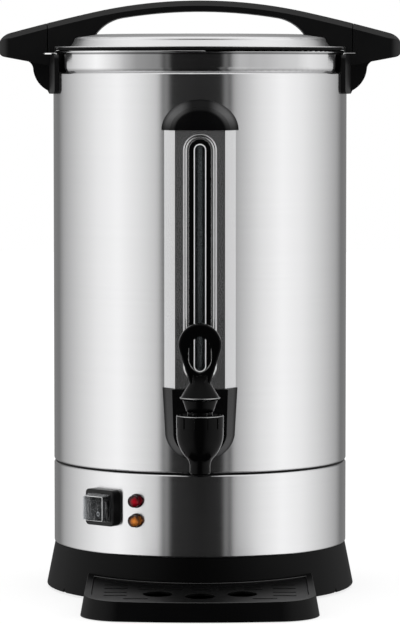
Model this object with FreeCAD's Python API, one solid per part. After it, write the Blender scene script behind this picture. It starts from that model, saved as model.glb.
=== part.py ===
import FreeCAD, Part
import math
import os

V = FreeCAD.Vector

# Coffee urn: a double-walled steel urn with a lift-off lid, a self-closing lever tap, a level gauge,
# a drip tray and a percolator inside. Millimetres. The origin is on the table, on the axis of the
# body. +Z is up and the tap faces -Y.

# Clearances
fit = 0.1               # between pieces that are fixed together
slip = 0.3              # between pieces that move past each other

# Casings and base
body_r = 110.0          # outside radius of both steel casings
casing_wall = 0.8
casing_bend = 0.8       # inside radius of the turned edges
casing_lip = 0.8        # flat lip beyond the turned edge
foot_show = 1.5         # height of the skirt's bottom edge above the table
skirt_h = 32.8
skirt_step = 0.7        # how far the skirt's top stands inside the casing
skirt_flare = 6.3       # extra radius of the skirt at its bottom edge
skirt_wall = 2.5
skirt_edge_r = 1.2      # rounding of the skirt's bottom edge
deck_t = 3.0            # deck that closes the top of the skirt
deck_seat = 8.0         # deck inside the rods' centres
spigot_h = 5.0          # rings that centre the casings
housing_h = 61.0        # height of the lower casing
seam_h = 1.2            # gap between the casings
seam_inset = 1.2        # how far the black ring stands back in the seam
shell_h = 290.4         # height of the upper casing
notch_h = 3.5           # small notches in the skirt's bottom edge
notch_angle = 61.0      # their place, from the front

# Bottom plate, feet and screws
plate_recess = 2.0
plate_t = 1.0
foot_in = 18.0          # feet, from the casing's outside to their centres
foot_r = 9.0
foot_stem_r = 3.0
foot_barb_r = 4.5
screw_in = 11.0         # bottom plate's screws, from the casing's outside
screw_r = 1.7
screw_head_r = 3.5
screw_head_h = 1.6
screw_len = 14.0
boss_r = 4.6
vent_count = 10
vent_len = 22.0
vent_w = 3.0
vent_ring_r = 60.0

# Tank
jacket_gap = 3.9        # between the upper casing and the tank
tank_wall = 0.8
tank_lift = 1.5         # underside of the tank above the seam
tank_corner = 6.0
well_in = 13.0          # dished well under the percolator, from the cut-out's centre
well_slope = 4.0
well_depth = 5.0
neck_step = 2.5         # how far the neck stands inside the casing
neck_h = 16.3
neck_flare = 0.8        # waist at the foot of the neck
neck_curve = 4.0
rim_r = 1.2             # rolled rim
ledge_t = 3.0           # ledge that the tank stands on
ledge_w = 13.3

# Clamping rods
rod_r = 2.5
rod_room = 5.5          # between a rod and the ledge or the heat spreader
nut_flats = 8.0
nut_h = 4.0
rod_tail = 2.0
rod_angles = (30, 150, 270)

# Heater and controls
spreader_t = 2.5
element_in = 14.0       # ring element, from the spreader's edge
element_r = 4.0
element_turn = 320.0
element_leg = 16.0
stat_r = 13.0
stat_h = 9.0
cutout_r = 7.5
cutout_h = 8.0
cutout_in = 16.0        # cut-out and fuse, from the ring element
cutout_angle = 205.0
fuse_r = 2.2
fuse_len = 14.0
fuse_angle = 292.0
strap_w = 12.0
strap_t = 1.0
strap_in = 19.0         # bends of the strap, from the ring element
strap_tab = 8.0
block_w = 40.0
block_d = 20.0
block_h = 16.0
block_in = 14.0         # terminal block, from the ring element
wire_r = 1.3
wire_rise = 8.0         # from a terminal to the first elbow
wire_drop = 12.0        # from an elbow down to a contact
pole_pitch = 13.0       # terminals of the block
pole_row = 5.0
pole_r = 2.6
pole_depth = 4.0
blade_len = 8.0         # flat contacts under the thermostat and the cut-out
stat_blade = 8.5
pin_len = 6.0           # pins at the element's ends

# Cord gland
gland_up = 17.7         # above the skirt
gland_bore_r = 3.6
gland_r = 6.5
gland_flange_r = 9.5
gland_flange_t = 3.0
gland_out = 6.0
gland_nut_t = 4.0

# Lid
gasket_t = 1.4
gasket_w = 5.0
gasket_plug_h = 6.0
gasket_plug_t = 2.2
lid_wall = 0.8
lid_over = 1.3          # lid flange beyond the rolled rim's centre line
lid_h = 10.0            # underside of the flange to the top
lid_base_r = 97.9
lid_lean = 2.5          # the crown's side leans in by this
lid_shoulder = 2.5
lid_brow = 2.3          # drop from the plateau to the shoulder
lid_brow_w = 20.0       # width of that slope

# Arch handle and side handles
arch_rise = 25.3        # crown above the lid's top
arch_bend = 365.0       # radius of the crown
arch_knee = 80.0        # half-length of the crown
arm_bend = 1400.0       # radius of the outer stretches
arch_t = 8.1
arch_w = 34.0
arch_bevel = 4.0
hand_gap_in = 19.6      # end of the hand gap on the lid, from the crown's foot
hand_gap_corner = 20.3  # length of its rounded corner
seam_out = 5.0          # joint between lid handle and side handles, from the casing
handle_out = 41.0       # tip of a side handle, from the casing
tip_r = 12.2
tip_low_r = 6.2
tip_plan_r = 9.0
grip_slope = 11.3       # underside of the side handle, in degrees
foot_low = 1.7          # underside of the lid handle's foot below the rim
shelf_gap = 1.1         # open slit under the foot
slot_depth = 2.2        # slit into the side handle
lip_left = 1.5          # lip that closes the slit next to the casing
lip_right = 8.0
leg_h = 32.2            # foot of the plate below the rim
plate_half = 34.0       # half-width of the plate on the casing
plate_corner = 4.0
handle_plate_t = 3.0
gusset_t = 10.0         # web under the side handle
gusset_out = 12.0
gusset_r = 16.0
gusset_root = 7.0
gusset_drop = 6.0
gusset_toe = 1.2
gusset_turn = -68.0
edge_r = 0.8            # rounding of moulded edges
handle_screw_y = 19.0
handle_screw_drop = 8.0
lid_screw_in = 14.9     # lid handle's screws, from the crown's foot
lid_screw_y = 8.0
lid_screw_r = 2.0
lid_screw_head_r = 3.5
lid_screw_head_h = 2.0
lid_screw_len = 8.0

# Level gauge
gauge_proud = 11.5      # face of the channel from the casing
gauge_flat = 18.2       # half-width of the flat face
gauge_slope = 0.534     # sideways run of the sloping sides per millimetre of depth
gauge_wall = 0.8
gauge_top_drop = 36.0   # top of the channel below the casing's top
gauge_tuck = 9.0        # length of the channel held inside the escutcheon
bead_half = 12.0        # embossed bead round the inset
bead_w = 2.4
bead_h = 0.6
bead_top_drop = 43.9
bead_low_up = 38.0      # above the tap's shank
inset_half = 8.0        # opening for the black inset
inset_t = 1.6
inset_flange = 1.6
window_half = 4.7
window_t = 1.8
window_bevel = 0.6
window_top_drop = 51.0
window_low_up = 45.2
glass_r = 3.5
glass_wall = 0.8
glass_off = 5.0         # axis of the sight glass from the casing
seal_wall = 1.2
seal_h = 6.0
seal_show = 1.5
vent_r = 1.0            # air hole above the sight glass

# Hood and escutcheon
cover_proud = 14.5
cover_wall = 1.6
hood_half = 26.6
hood_h = 22.4
hood_flare = 1.5        # the hood and the escutcheon reach this much further at the casing
hood_face_half = 20.4
hood_face_h = 15.9
hood_edge_r = 5.0
hood_low_drop = 41.5
esc_half = 26.0
esc_taper = 1.9
esc_face_half = 20.2
esc_top_up = 33.0       # above the tap's shank
esc_round_h = 17.0
esc_drop = 19.3         # below the tap's shank
esc_face_rise = 4.0

# Tap
tap_reach = 40.0        # spout axis in front of the casing
tap_up = 29.5           # shank axis above the upper casing's lower edge
spout_r = 7.3
spout_bore_r = 5.3
spout_drop = 25.1       # spout's end below the shank axis
belly_r = 16.8
belly_up = 4.0          # widest point of the belly
belly_bend = 25.6
belly_turn = 43.7       # degrees of the belly below its widest point
seat_drop = 8.0
chamber_r = 11.0
parting_up = 7.5
bonnet_r = 16.9
bonnet_h = 9.5
bonnet_dish = 4.0
bonnet_top_t = 2.2
groove_count = 12
groove_w = 1.3
groove_d = 0.7
groove_turn = 18.0
shank_r = 8.0
shank_bore_r = 4.5
collar_r = 11.5
collar_t = 3.0
washer_r = 13.0
washer_t = 2.0
tap_nut_flats = 24.0
tap_nut_t = 6.0
shank_tail = 2.0
base_half = 11.5
base_above = 24.0
base_below = 10.5
duct_r = 2.5

# Tap lever and stem
socket_low_r = 9.8
socket_top_r = 12.5
socket_neck_h = 2.8
socket_h = 7.9
socket_base_t = 1.9
socket_thread_r = 6.0
slot_half = 5.0
slot_front = 7.5
pin_up = 24.5
pin_r = 1.5
lever_gap = 1.0
skirt_r0 = 14.3         # rim of the lever's flared skirt
skirt_rise = 11.8
skirt_thin = 1.2
side_lean = 0.72        # slope of the lever's front face
neck_half = 7.2
ring_r = 15.3
ring_up = 67.2          # centre of the finger ring
ring_t = 9.0
ring_edge = 1.6
neck_rise = 5.0         # the skirt's blend up into the ring
hole_half = 8.2
hole_rise = 13.2
hole_up = 60.3
tongue_half = 2.4
eye_r = 3.2
nose_off = 7.0
nose_r = 2.0
stem_r = 3.0
stem_head_t = 1.5
cheek_t = 1.4
cheek_gap = 0.6
cup_r = 8.5
cup_h = 6.0
spring_r = 6.0
spring_wire_r = 0.8
spring_turns = 4

# Lamps
lamp_angle = -24.8
lamp_red_up = 41.1      # above the skirt
lamp_amber_up = 26.7
lens_r = 4.4
lens_proud = 8.2
lens_dome = 2.2
lens_rim_r = 5.2
lens_rim_t = 1.4
lamp_body_r = 4.1
lamp_body_len = 14.0
clip_r = 7.0
clip_t = 1.0

# Rocker switch
switch_angle = -39.35
switch_up = 34.9        # above the skirt
switch_w = 26.8
switch_h = 26.5
switch_proud = 6.4
switch_corner = 3.0
pocket_w = 19.0
pocket_h = 18.4
pocket_d = 11.5
switch_body = 21.4
switch_body_d = 20.0
switch_tab = 8.0
rocker_w = 17.0
rocker_h = 14.2
rocker_front = 6.4
rocker_dish = 1.0
rocker_back = 4.0
rocker_pivot = 5.0
rocker_tilt = 10.0
peg_r = 2.0             # pegs that the rocker turns on
peg_in = 2.0
cap_w = 21.2
cap_h = 20.4
cap_wall = 0.9
cap_proud = 7.6
cap_draw = 1.2          # the cap draws in by this from its foot to its front
cap_edge = 1.2
cap_roll = 0.5          # rounding of the cap's front edges

# Drip tray and grid
tray_half = 83.0
tray_draft = 2.5
tray_front = 193.0      # front of the tray from the axis
tray_bow = 10.0         # how far the front edge bows forward
tray_corner = 30.0
tray_h = 13.9           # height of the front edge
tray_off = 0.5          # underside above the table
tray_slope = 0.042      # rise of the tray's top towards the body
tray_wall = 2.2
tray_floor = 2.0
tray_rim_w = 7.3        # width of the flat rim and the shelf under the grid
grid_drop = 1.0         # top of the grid below the rim
grid_t = 2.0
grid_ledge = 2.0        # part of the rim's width that carries the grid
shelf_t = 1.6
cup_hole_r = 10.7
cup_hole_pitch = 30.1
cup_hole_y = 163.0
cup_hole_back = 8.0
slot_w = 2.6
slot_rows = (
    # middle of a slot from the centre line, its length, and the rows' distances from the axis
    (60.5, 17.0, (120.0, 134.0, 148.0, 161.0)),
    (46.0, 18.0, (172.5,)),
    (38.0, 14.0, (127.0, 138.0)),
    (19.0, 14.0, (127.0, 138.0)),
    (0.0, 14.0, (127.0, 138.0)),
)
tab_x = 42.0
tab_w = 12.0
tab_t = 3.0
tab_in = 9.0
tab_z = 6.5
tray_gap = 0.6          # between the tray and the skirt

# Percolator
pump_r = 5.0
pump_wall = 0.8
pump_top_drop = 16.0    # top of the tube below the rim
bell_in = 3.0           # bell foot, from the side of the tank's well
bell_h = 14.0
bell_wall = 1.0
stop_r = 9.0
stop_h = 3.0
basket_r = 56.0
basket_h = 74.0
basket_wall = 0.8
basket_top_drop = 34.0  # top of the basket below the rim
basket_rim = 1.6
cover_rim = 2.4
cover_h = 6.0
perf_r = 1.3

# Heights and radii that follow
skirt_top_z = foot_show + skirt_h
housing_top_z = skirt_top_z + housing_h
shell_low_z = housing_top_z + seam_h
shell_top_z = shell_low_z + shell_h
rim_z = shell_top_z + neck_h
gland_z = skirt_top_z + gland_up
lamp_red_z = skirt_top_z + lamp_red_up
lamp_amber_z = skirt_top_z + lamp_amber_up
switch_z = skirt_top_z + switch_up
tap_z = shell_low_z + tap_up
bead_low_z = tap_z + bead_low_up
window_low_z = tap_z + window_low_up
esc_top_z = tap_z + esc_top_up
esc_low_z = tap_z - esc_drop
spout_low_z = tap_z - spout_drop
belly_z = tap_z + belly_up
seat_z = tap_z - seat_drop
parting_z = tap_z + parting_up
pin_z = tap_z + pin_up
ring_z = tap_z + ring_up
hole_z = tap_z + hole_up
casing_in_r = body_r - casing_wall
casing_out_bend = casing_bend + casing_wall
lip_r = body_r - casing_out_bend - casing_lip
tank_r = casing_in_r - jacket_gap
tank_in_r = tank_r - tank_wall
tank_low_z = shell_low_z + tank_lift
neck_r = body_r - neck_step
rim_ring_r = neck_r - tank_wall / 2
spigot_r = lip_r - fit
spigot_in_r = tank_r + slip
ledge_r = tank_r - ledge_w
rod_ring_r = ledge_r - rod_room - rod_r
deck_hole_r = rod_ring_r - deck_seat
spreader_r = rod_ring_r - rod_r - rod_room
element_ring_r = spreader_r - element_in
cutout_ring_r = element_ring_r - cutout_in
strap_half = element_ring_r - strap_in
well_r = cutout_ring_r - well_in
bell_r = well_r - bell_in
block_y = element_ring_r - block_in
foot_ring_r = body_r - foot_in
screw_ring_r = body_r - screw_in
skirt_top_r = body_r - skirt_step
plate_z = foot_show + plate_recess
deck_z = skirt_top_z - deck_t
spreader_z = tank_low_z - spreader_t
lid_z = rim_z + gasket_t + 2 * slip
lid_top_z = lid_z + lid_h
lid_r = rim_ring_r + rim_r + lid_over
lid_top_r = lid_base_r - lid_lean
lid_plateau_r = lid_base_r - lid_brow_w
lid_screw_x = lid_base_r - lid_screw_in
hand_gap_half = lid_base_r - hand_gap_in
seam_r = body_r + seam_out
handle_reach = body_r + handle_out
crown_z = lid_top_z + arch_rise
foot_z = rim_z - foot_low
shelf_z = foot_z - shelf_gap
leg_low_z = rim_z - leg_h
cover_y = -body_r - cover_proud
panel_y = -body_r - gauge_proud
glass_y = -body_r - glass_off
tap_y = -body_r - tap_reach
bonnet_z = parting_z + bonnet_h
dish_z = bonnet_z - bonnet_dish
socket_low_z = bonnet_z + socket_neck_h
socket_top_z = socket_low_z + socket_h
skirt_low_z = socket_top_z + lever_gap
tray_high_z = tray_off + tray_h + 6.0
pump_top_z = rim_z - pump_top_drop
basket_top_z = rim_z - basket_top_drop
basket_low_z = basket_top_z - basket_h
well_floor_z = tank_low_z - well_depth + tank_wall


def corner(cx, cz, r, start, end):
    """The middle and the end of an arc about (cx, cz), between two angles in degrees."""
    mid = math.radians((start + end) / 2)
    last = math.radians(end)
    return (
        (cx + r * math.cos(mid), cz + r * math.sin(mid)),
        (cx + r * math.cos(last), cz + r * math.sin(last)),
    )


def face_of(points, place):
    """A flat face. A plain point ends a straight edge, a (middle, end) pair ends an arc."""
    edges = []
    here = place(*points[0])
    for point in points[1:] + points[:1]:
        if isinstance(point[0], tuple):
            middle = place(*point[0])
            end = place(*point[1])
            edges.append(Part.Arc(here, middle, end).toShape())
        else:
            end = place(*point)
            if here.distanceToPoint(end) > 1e-6:
                edges.append(Part.LineSegment(here, end).toShape())
        here = end
    return Part.Face(Part.Wire(edges))


def outward(solid):
    """The solid with its faces pointing out."""
    return solid if solid.Volume > 0 else solid.reversed()


def lathe(points, x=0.0, y=0.0):
    """A solid turned about an upright axis at (x, y), from points of radius and height."""
    face = face_of(points, lambda r, z: V(r, 0, z))
    solid = outward(face.revolve(V(0, 0, 0), V(0, 0, 1), 360))
    solid.translate(V(x, y, 0))
    return solid


def lathe_out(points, z):
    """A solid turned about the level axis that leaves the urn's front at height z."""
    face = face_of(points, lambda r, d: V(r, -d, z))
    return outward(face.revolve(V(0, 0, z), V(0, 1, 0), 360))


def slab_xz(points, y_low, y_high):
    """A plate with its outline in the front view."""
    face = face_of(points, lambda x, z: V(x, y_low, z))
    return outward(face.extrude(V(0, y_high - y_low, 0)))


def slab_xy(points, z_low, z_high):
    """A plate with its outline in the top view."""
    face = face_of(points, lambda x, y: V(x, y, z_low))
    return outward(face.extrude(V(0, 0, z_high - z_low)))


def slab_yz(points, x_low, x_high):
    """A plate with its outline in the side view."""
    face = face_of(points, lambda y, z: V(x_low, y, z))
    return outward(face.extrude(V(x_high - x_low, 0, 0)))


def disc(r, z_low, z_high, x=0.0, y=0.0):
    return Part.makeCylinder(r, z_high - z_low, V(x, y, z_low))


def ring(r_in, r_out, z_low, z_high, x=0.0, y=0.0):
    return disc(r_out, z_low, z_high, x, y).cut(disc(r_in, z_low - 1, z_high + 1, x, y))


def block(x_low, x_high, y_low, y_high, z_low, z_high):
    size = (x_high - x_low, y_high - y_low, z_high - z_low)
    return Part.makeBox(*size, V(x_low, y_low, z_low))


def rod(r, start, end):
    line = end - start
    return Part.makeCylinder(r, line.Length, start, line)


def turned(shape, angle):
    """A copy turned about the urn's axis."""
    copy = shape.copy()
    copy.rotate(V(0, 0, 0), V(0, 0, 1), angle)
    return copy


def polar(r, angle):
    return (r * math.cos(math.radians(angle)), r * math.sin(math.radians(angle)))


def fused(shapes):
    return shapes[0].multiFuse(shapes[1:]).removeSplitter()


def stadium(half, z_low, z_high):
    """An upright slot outline with round ends."""
    top = z_high - half
    low = z_low + half
    return [(-half, low), corner(0, low, half, 180, 360), (half, top), corner(0, top, half, 0, 180)]


def hex_bar(flats, z_low, z_high, x, y):
    r = flats / math.sqrt(3)
    points = [(x + polar(r, 60 * k)[0], y + polar(r, 60 * k)[1]) for k in range(6)]
    return slab_xy(points, z_low, z_high)


def skirt_r(z):
    """Outside radius of the base skirt at a height."""
    return skirt_top_r + skirt_flare * (skirt_top_z - z) / skirt_h


def casing(z_low, z_high, low_lip_r, high_lip_r):
    """A rolled sheet tube whose edges turn inwards."""
    w = casing_wall
    big = casing_out_bend
    bend_r = body_r - big
    return lathe([
        (low_lip_r, z_low),
        (bend_r, z_low),
        corner(bend_r, z_low + big, big, -90, 0),
        (body_r, z_high - big),
        corner(bend_r, z_high - big, big, 0, 90),
        (high_lip_r, z_high),
        (high_lip_r, z_high - w),
        (bend_r, z_high - w),
        corner(bend_r, z_high - big, casing_bend, 90, 0),
        (casing_in_r, z_low + big),
        corner(bend_r, z_low + big, casing_bend, 0, -90),
        (low_lip_r, z_low + w),
    ])


def front_hole(r, z, depth_from, depth_to):
    """A round cutter through the front, between two distances from the axis."""
    return rod(r, V(0, -depth_from, z), V(0, -depth_to, z))


# Base

def base_skirt():
    low_r = skirt_r(foot_show)
    spigot_thick = spigot_r - spigot_in_r
    skirt = lathe([
        (low_r - skirt_wall, foot_show),
        (low_r - skirt_edge_r, foot_show),
        corner(low_r - skirt_edge_r, foot_show + skirt_edge_r, skirt_edge_r, -90, 0),
        (skirt_top_r, skirt_top_z),
        (spigot_r, skirt_top_z),
        (spigot_r, skirt_top_z + spigot_h),
        (spigot_r - spigot_thick, skirt_top_z + spigot_h),
        (spigot_r - spigot_thick, skirt_top_z),
        (deck_hole_r, skirt_top_z),
        (deck_hole_r, deck_z),
        (skirt_r(deck_z) - skirt_wall, deck_z),
    ])
    bosses = []
    for k in range(4):
        x, y = polar(screw_ring_r, 90 * k)
        bosses.append(disc(boss_r, plate_z + plate_t, deck_z, x, y))
    skirt = fused([skirt] + bosses)
    cuts = []
    for k in range(4):
        x, y = polar(screw_ring_r, 90 * k)
        cuts.append(disc(screw_r, plate_z, plate_z + screw_len + 1, x, y))
    for angle in rod_angles:
        x, y = polar(rod_ring_r, angle)
        cuts.append(disc(rod_r + fit, deck_z - 1, skirt_top_z + 1, x, y))
    for side in (-1, 1):
        x = side * tab_x
        half = tab_w / 2 + slip
        low = tab_z - slip
        cuts.append(block(x - half, x + half, -low_r - 5, -low_r + 25, low, tab_z + tab_t + slip))
        notch = slab_xz([(-notch_h, foot_show - 1), (notch_h, foot_show - 1), (0, foot_show + notch_h)],
                        -low_r - 5, -low_r + 8)
        cuts.append(turned(notch, side * notch_angle))
    return skirt.cut(cuts)


def bottom_plate():
    top_z = plate_z + plate_t
    plate = disc(skirt_r(top_z) - skirt_wall - fit, plate_z, top_z)
    cuts = []
    for k in range(4):
        x, y = polar(screw_ring_r, 90 * k)
        cuts.append(disc(screw_r + fit, plate_z - 1, top_z + 1, x, y))
        x, y = polar(foot_ring_r, 45 + 90 * k)
        cuts.append(disc(foot_stem_r, plate_z - 1, top_z + 1, x, y))
    for k in range(vent_count):
        slot = block(vent_ring_r - vent_len / 2, vent_ring_r + vent_len / 2,
                     -vent_w / 2, vent_w / 2, plate_z - 1, top_z + 1)
        cuts.append(turned(slot, 18 + 360 * k / vent_count))
    return plate.cut(cuts)


def rubber_feet():
    top_z = plate_z + plate_t
    feet = []
    for k in range(4):
        x, y = polar(foot_ring_r, 45 + 90 * k)
        feet.append(lathe([
            (0, 0), (foot_r - 1, 0), (foot_r, 1), (foot_r, plate_z), (foot_stem_r, plate_z),
            (foot_stem_r, top_z), (foot_barb_r, top_z), (foot_stem_r, top_z + 3), (0, top_z + 3),
        ], x, y))
    return Part.makeCompound(feet)


def base_screws():
    screws = []
    for k in range(4):
        x, y = polar(screw_ring_r, 90 * k)
        head = disc(screw_head_r, plate_z - screw_head_h, plate_z, x, y)
        shank = disc(screw_r, plate_z, plate_z + screw_len, x, y)
        cross = block(x - 2, x + 2, y - 0.4, y + 0.4, plate_z - screw_head_h, plate_z - 0.7)
        screws.append(head.fuse(shank).cut(cross))
    return Part.makeCompound(screws)


def tie_rods():
    rods = []
    for angle in rod_angles:
        x, y = polar(rod_ring_r, angle)
        rods.append(disc(rod_r, deck_z - 1 - nut_h - rod_tail, tank_low_z, x, y))
    return Part.makeCompound(rods)


def tie_nuts():
    nuts = []
    for angle in rod_angles:
        x, y = polar(rod_ring_r, angle)
        nut = hex_bar(nut_flats, deck_z - 1 - nut_h, deck_z - 1, x, y)
        washer = disc(nut_flats * 0.75, deck_z - 1, deck_z, x, y)
        nuts.append(nut.fuse(washer).cut(disc(rod_r, deck_z - 10, deck_z + 1, x, y)))
    return Part.makeCompound(nuts)


# Casings and tank

def switch_opening():
    half = switch_body / 2 + fit
    hole = block(-half, half, -body_r - 5, -body_r + 15, switch_z - half, switch_z + half)
    return turned(hole, switch_angle)


def lower_housing():
    housing = casing(skirt_top_z, housing_top_z, lip_r, lip_r)
    cuts = [switch_opening()]
    for z in (lamp_red_z, lamp_amber_z):
        cuts.append(turned(front_hole(lamp_body_r + fit, z, body_r - 10, body_r + 5), lamp_angle))
    cuts.append(turned(front_hole(gland_r, gland_z, body_r - 10, body_r + 5), 180))
    return housing.cut(cuts)


def seam_ring():
    ledge_low = tank_low_z - ledge_t
    ring_body = lathe([
        (ledge_r, ledge_low),
        (spigot_in_r, ledge_low),
        (spigot_in_r, housing_top_z - spigot_h),
        (spigot_r, housing_top_z - spigot_h),
        (spigot_r, housing_top_z),
        (body_r - seam_inset, housing_top_z),
        (body_r - seam_inset, shell_low_z),
        (spigot_r, shell_low_z),
        (spigot_r, shell_low_z + spigot_h),
        (spigot_in_r, shell_low_z + spigot_h),
        (spigot_in_r, tank_low_z),
        (ledge_r, tank_low_z),
    ])
    return ring_body


def handle_screw_spots():
    """Where the side handles' screws cross the casing: angle from the side, and height."""
    drop = math.degrees(math.asin(handle_screw_y / body_r))
    z = shell_top_z - handle_screw_drop
    return [(side, sign * drop, z) for side in (0, 180) for sign in (-1, 1)]


def outer_shell():
    shell = casing(shell_low_z, shell_top_z, lip_r, tank_r + slip)
    cuts = [front_hole(shank_r + fit, tap_z, body_r - 10, body_r + 5)]
    for side, angle, z in handle_screw_spots():
        bore = rod(screw_r + fit, V(body_r - 10, 0, z), V(body_r + 5, 0, z))
        cuts.append(turned(bore, side + angle))
    return shell.cut(cuts)


def tank_form(inset):
    """The tank's body as a full solid, shrunk by an inset."""
    low = tank_low_z - well_depth + inset
    floor = tank_low_z + inset
    r = tank_r - inset
    bend = tank_corner - inset
    waist_r = (neck_curve ** 2 + neck_flare ** 2) / (2 * neck_flare)
    waist_x = neck_r - waist_r
    waist_z = shell_top_z + neck_curve
    start = math.degrees(math.asin((neck_curve - inset) / (waist_r - inset)))
    start_r = waist_x + (waist_r - inset) * math.cos(math.radians(start))
    top = rim_z - rim_r
    return lathe([
        (0, low),
        (well_r - inset, low),
        (well_r + well_slope - inset, floor),
        (r - bend, floor),
        corner(r - bend, floor + bend, bend, -90, 0),
        (r, shell_top_z + inset),
        (start_r, shell_top_z + inset),
        corner(waist_x, waist_z, waist_r - inset, -start, 0),
        (neck_r - inset, top),
        (0, top),
    ])


def inner_tank():
    rim = Part.makeTorus(rim_ring_r, rim_r, V(0, 0, rim_z - rim_r))
    tank = tank_form(0).cut(tank_form(tank_wall)).fuse(rim)
    return tank.cut(front_hole(shank_r + fit, tap_z, tank_r - 12, tank_r + 5))


# Heater, controls and wiring

def heat_plate():
    return ring(well_r + well_slope + 1, spreader_r, spreader_z, tank_low_z)


def element_end(angle):
    return polar(element_ring_r, angle)


element_start = 90 + (360 - element_turn) / 2
element_z = spreader_z - element_r


def heating_element():
    section = Part.Face(Part.Wire(Part.makeCircle(element_r, V(element_ring_r, 0, element_z), V(0, 1, 0))))
    coil = outward(section.revolve(V(0, 0, 0), V(0, 0, 1), element_turn))
    pieces = [turned(coil, element_start)]
    for angle in (element_start, element_start + element_turn):
        x, y = element_end(angle)
        low = element_z - element_leg
        pieces.append(Part.makeSphere(element_r, V(x, y, element_z)))
        pieces.append(disc(element_r - 1, low, element_z, x, y))
        pieces.append(disc(element_r / 2 - 0.5, low - pin_len, low, x, y))
    return fused(pieces)


def control_thermostat():
    top = tank_low_z - well_depth
    body = disc(stat_r, top - stat_h, top)
    low = top - stat_h
    blades = [block(-3, 3, side * stat_blade - 0.4, side * stat_blade + 0.4, low - blade_len, low)
              for side in (-1, 1)]
    return fused([body] + blades)


def thermostat_strap():
    top = tank_low_z - well_depth - stat_h
    half = strap_w / 2
    bar = block(-strap_half, strap_half, -half, half, top - strap_t, top)
    pieces = [bar]
    for side in (-1, 1):
        inner = side * (strap_half - strap_t)
        outer = side * strap_half
        tab = side * (strap_half + strap_tab)
        pieces.append(block(min(inner, outer), max(inner, outer), -half, half, top - strap_t, spreader_z))
        pieces.append(block(min(inner, tab), max(inner, tab), -half, half,
                            spreader_z - strap_t, spreader_z))
    return fused(pieces)


def boil_dry_cutout():
    x, y = polar(cutout_ring_r, cutout_angle)
    body = disc(cutout_r, spreader_z - cutout_h, spreader_z, x, y)
    low = spreader_z - cutout_h
    blades = [block(x + s - 0.4, x + s + 0.4, y - 2, y + 2, low - blade_len, low) for s in (-4, 4)]
    return fused([body] + blades)


def thermal_fuse():
    z = spreader_z - fuse_r
    half = fuse_len / 2
    body = rod(fuse_r, V(cutout_ring_r, -half, z), V(cutout_ring_r, half, z))
    leads = rod(0.5, V(cutout_ring_r, -half - 7, z), V(cutout_ring_r, half + 7, z))
    return turned(body.fuse(leads), fuse_angle)


def terminal_block():
    top = plate_z + plate_t + block_h
    body = block(-block_w / 2, block_w / 2, block_y - block_d / 2, block_y + block_d / 2,
                 plate_z + plate_t, top)
    pits = [disc(pole_r, top - pole_depth, top + 1, k * pole_pitch, block_y + side * pole_row)
            for k in (-1, 0, 1) for side in (-1, 1)]
    return body.cut(pits)


def wire_run(points):
    """A wire along straight runs with round elbows."""
    parts = [rod(wire_r, a, b) for a, b in zip(points, points[1:])]
    parts += [Part.makeSphere(wire_r, point) for point in points[1:-1]]
    return fused(parts)


def wiring():
    top = plate_z + plate_t + block_h
    near = block_y - pole_row
    far = block_y + pole_row
    runs = []
    for side, angle in ((-1, element_start), (1, element_start + element_turn)):
        x = side * pole_pitch
        ex, ey = element_end(angle)
        ex = side * abs(ex)
        end_z = element_z - element_leg - pin_len
        runs.append(wire_run([V(x, far, top), V(x, far, top + wire_rise),
                              V(ex, ey, end_z - wire_drop), V(ex, ey, end_z)]))
    stat_low = tank_low_z - well_depth - stat_h - blade_len
    runs.append(wire_run([V(0, near, top), V(0, near, top + wire_rise),
                          V(0, stat_blade, stat_low - wire_drop), V(0, stat_blade, stat_low)]))
    sx, sy = polar(body_r - switch_body_d - switch_tab - fit, 270 + switch_angle)
    low = switch_z - switch_tab / 2
    runs.append(wire_run([V(-pole_pitch, near, top), V(-pole_pitch, near, top + wire_drop),
                          V(sx + wire_drop, sy + wire_drop, low), V(sx, sy, low)]))
    lx, ly = polar(body_r - lamp_body_len - wire_r, 270 + lamp_angle)
    runs.append(wire_run([V(pole_pitch, near, top), V(pole_pitch, near, top + wire_rise),
                          V(lx, ly + wire_drop, lamp_amber_z), V(lx, ly, lamp_amber_z)]))
    inner = casing_in_r - gland_nut_t - gland_flange_t
    runs.append(wire_run([V(0, far, top), V(0, far + wire_rise, top + wire_drop),
                          V(0, inner - wire_drop, gland_z), V(0, inner, gland_z)]))
    return Part.makeCompound(runs)


def cord_gland():
    low = body_r - casing_wall - gland_nut_t - 2
    gland = lathe_out([
        (gland_bore_r, low),
        (gland_r - 0.5, low),
        (gland_r - 0.5, body_r + 0.5),
        (gland_flange_r, body_r + 0.5),
        (gland_flange_r, body_r + gland_flange_t - 1),
        (gland_flange_r - 1, body_r + gland_flange_t),
        (gland_r, body_r + gland_flange_t),
        (gland_r - 1, body_r + gland_out),
        (gland_bore_r, body_r + gland_out),
    ], gland_z)
    high = casing_in_r - 0.6
    nut = lathe_out([
        (gland_r - 0.5, high - gland_nut_t), (gland_flange_r, high - gland_nut_t),
        (gland_flange_r, high), (gland_r - 0.5, high),
    ], gland_z)
    return turned(gland.fuse(nut), 180)


# Lid

def lid_envelope(inset):
    """Everything under the lid's skin, as a full solid shrunk by an inset."""
    top = lid_top_z - inset
    r_top = lid_top_r - inset
    r_base = lid_base_r - inset
    bend = lid_shoulder - inset
    low = lid_z - 1
    brow_z = top - lid_brow
    return lathe([
        (0, low), (r_base, low), (r_base, lid_z + lid_wall - inset),
        (r_top, brow_z - bend), corner(r_top - bend, brow_z - bend, bend, 0, 90),
        (lid_plateau_r, top), (0, top),
    ])


def lid_screw_seat():
    """Underside of the lid's skin at the outer side of a screw's head."""
    run = math.hypot(lid_screw_x, lid_screw_y) + lid_screw_head_r - lid_plateau_r
    return lid_top_z - lid_wall - lid_brow * run / (lid_top_r - lid_shoulder - lid_plateau_r)


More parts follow.
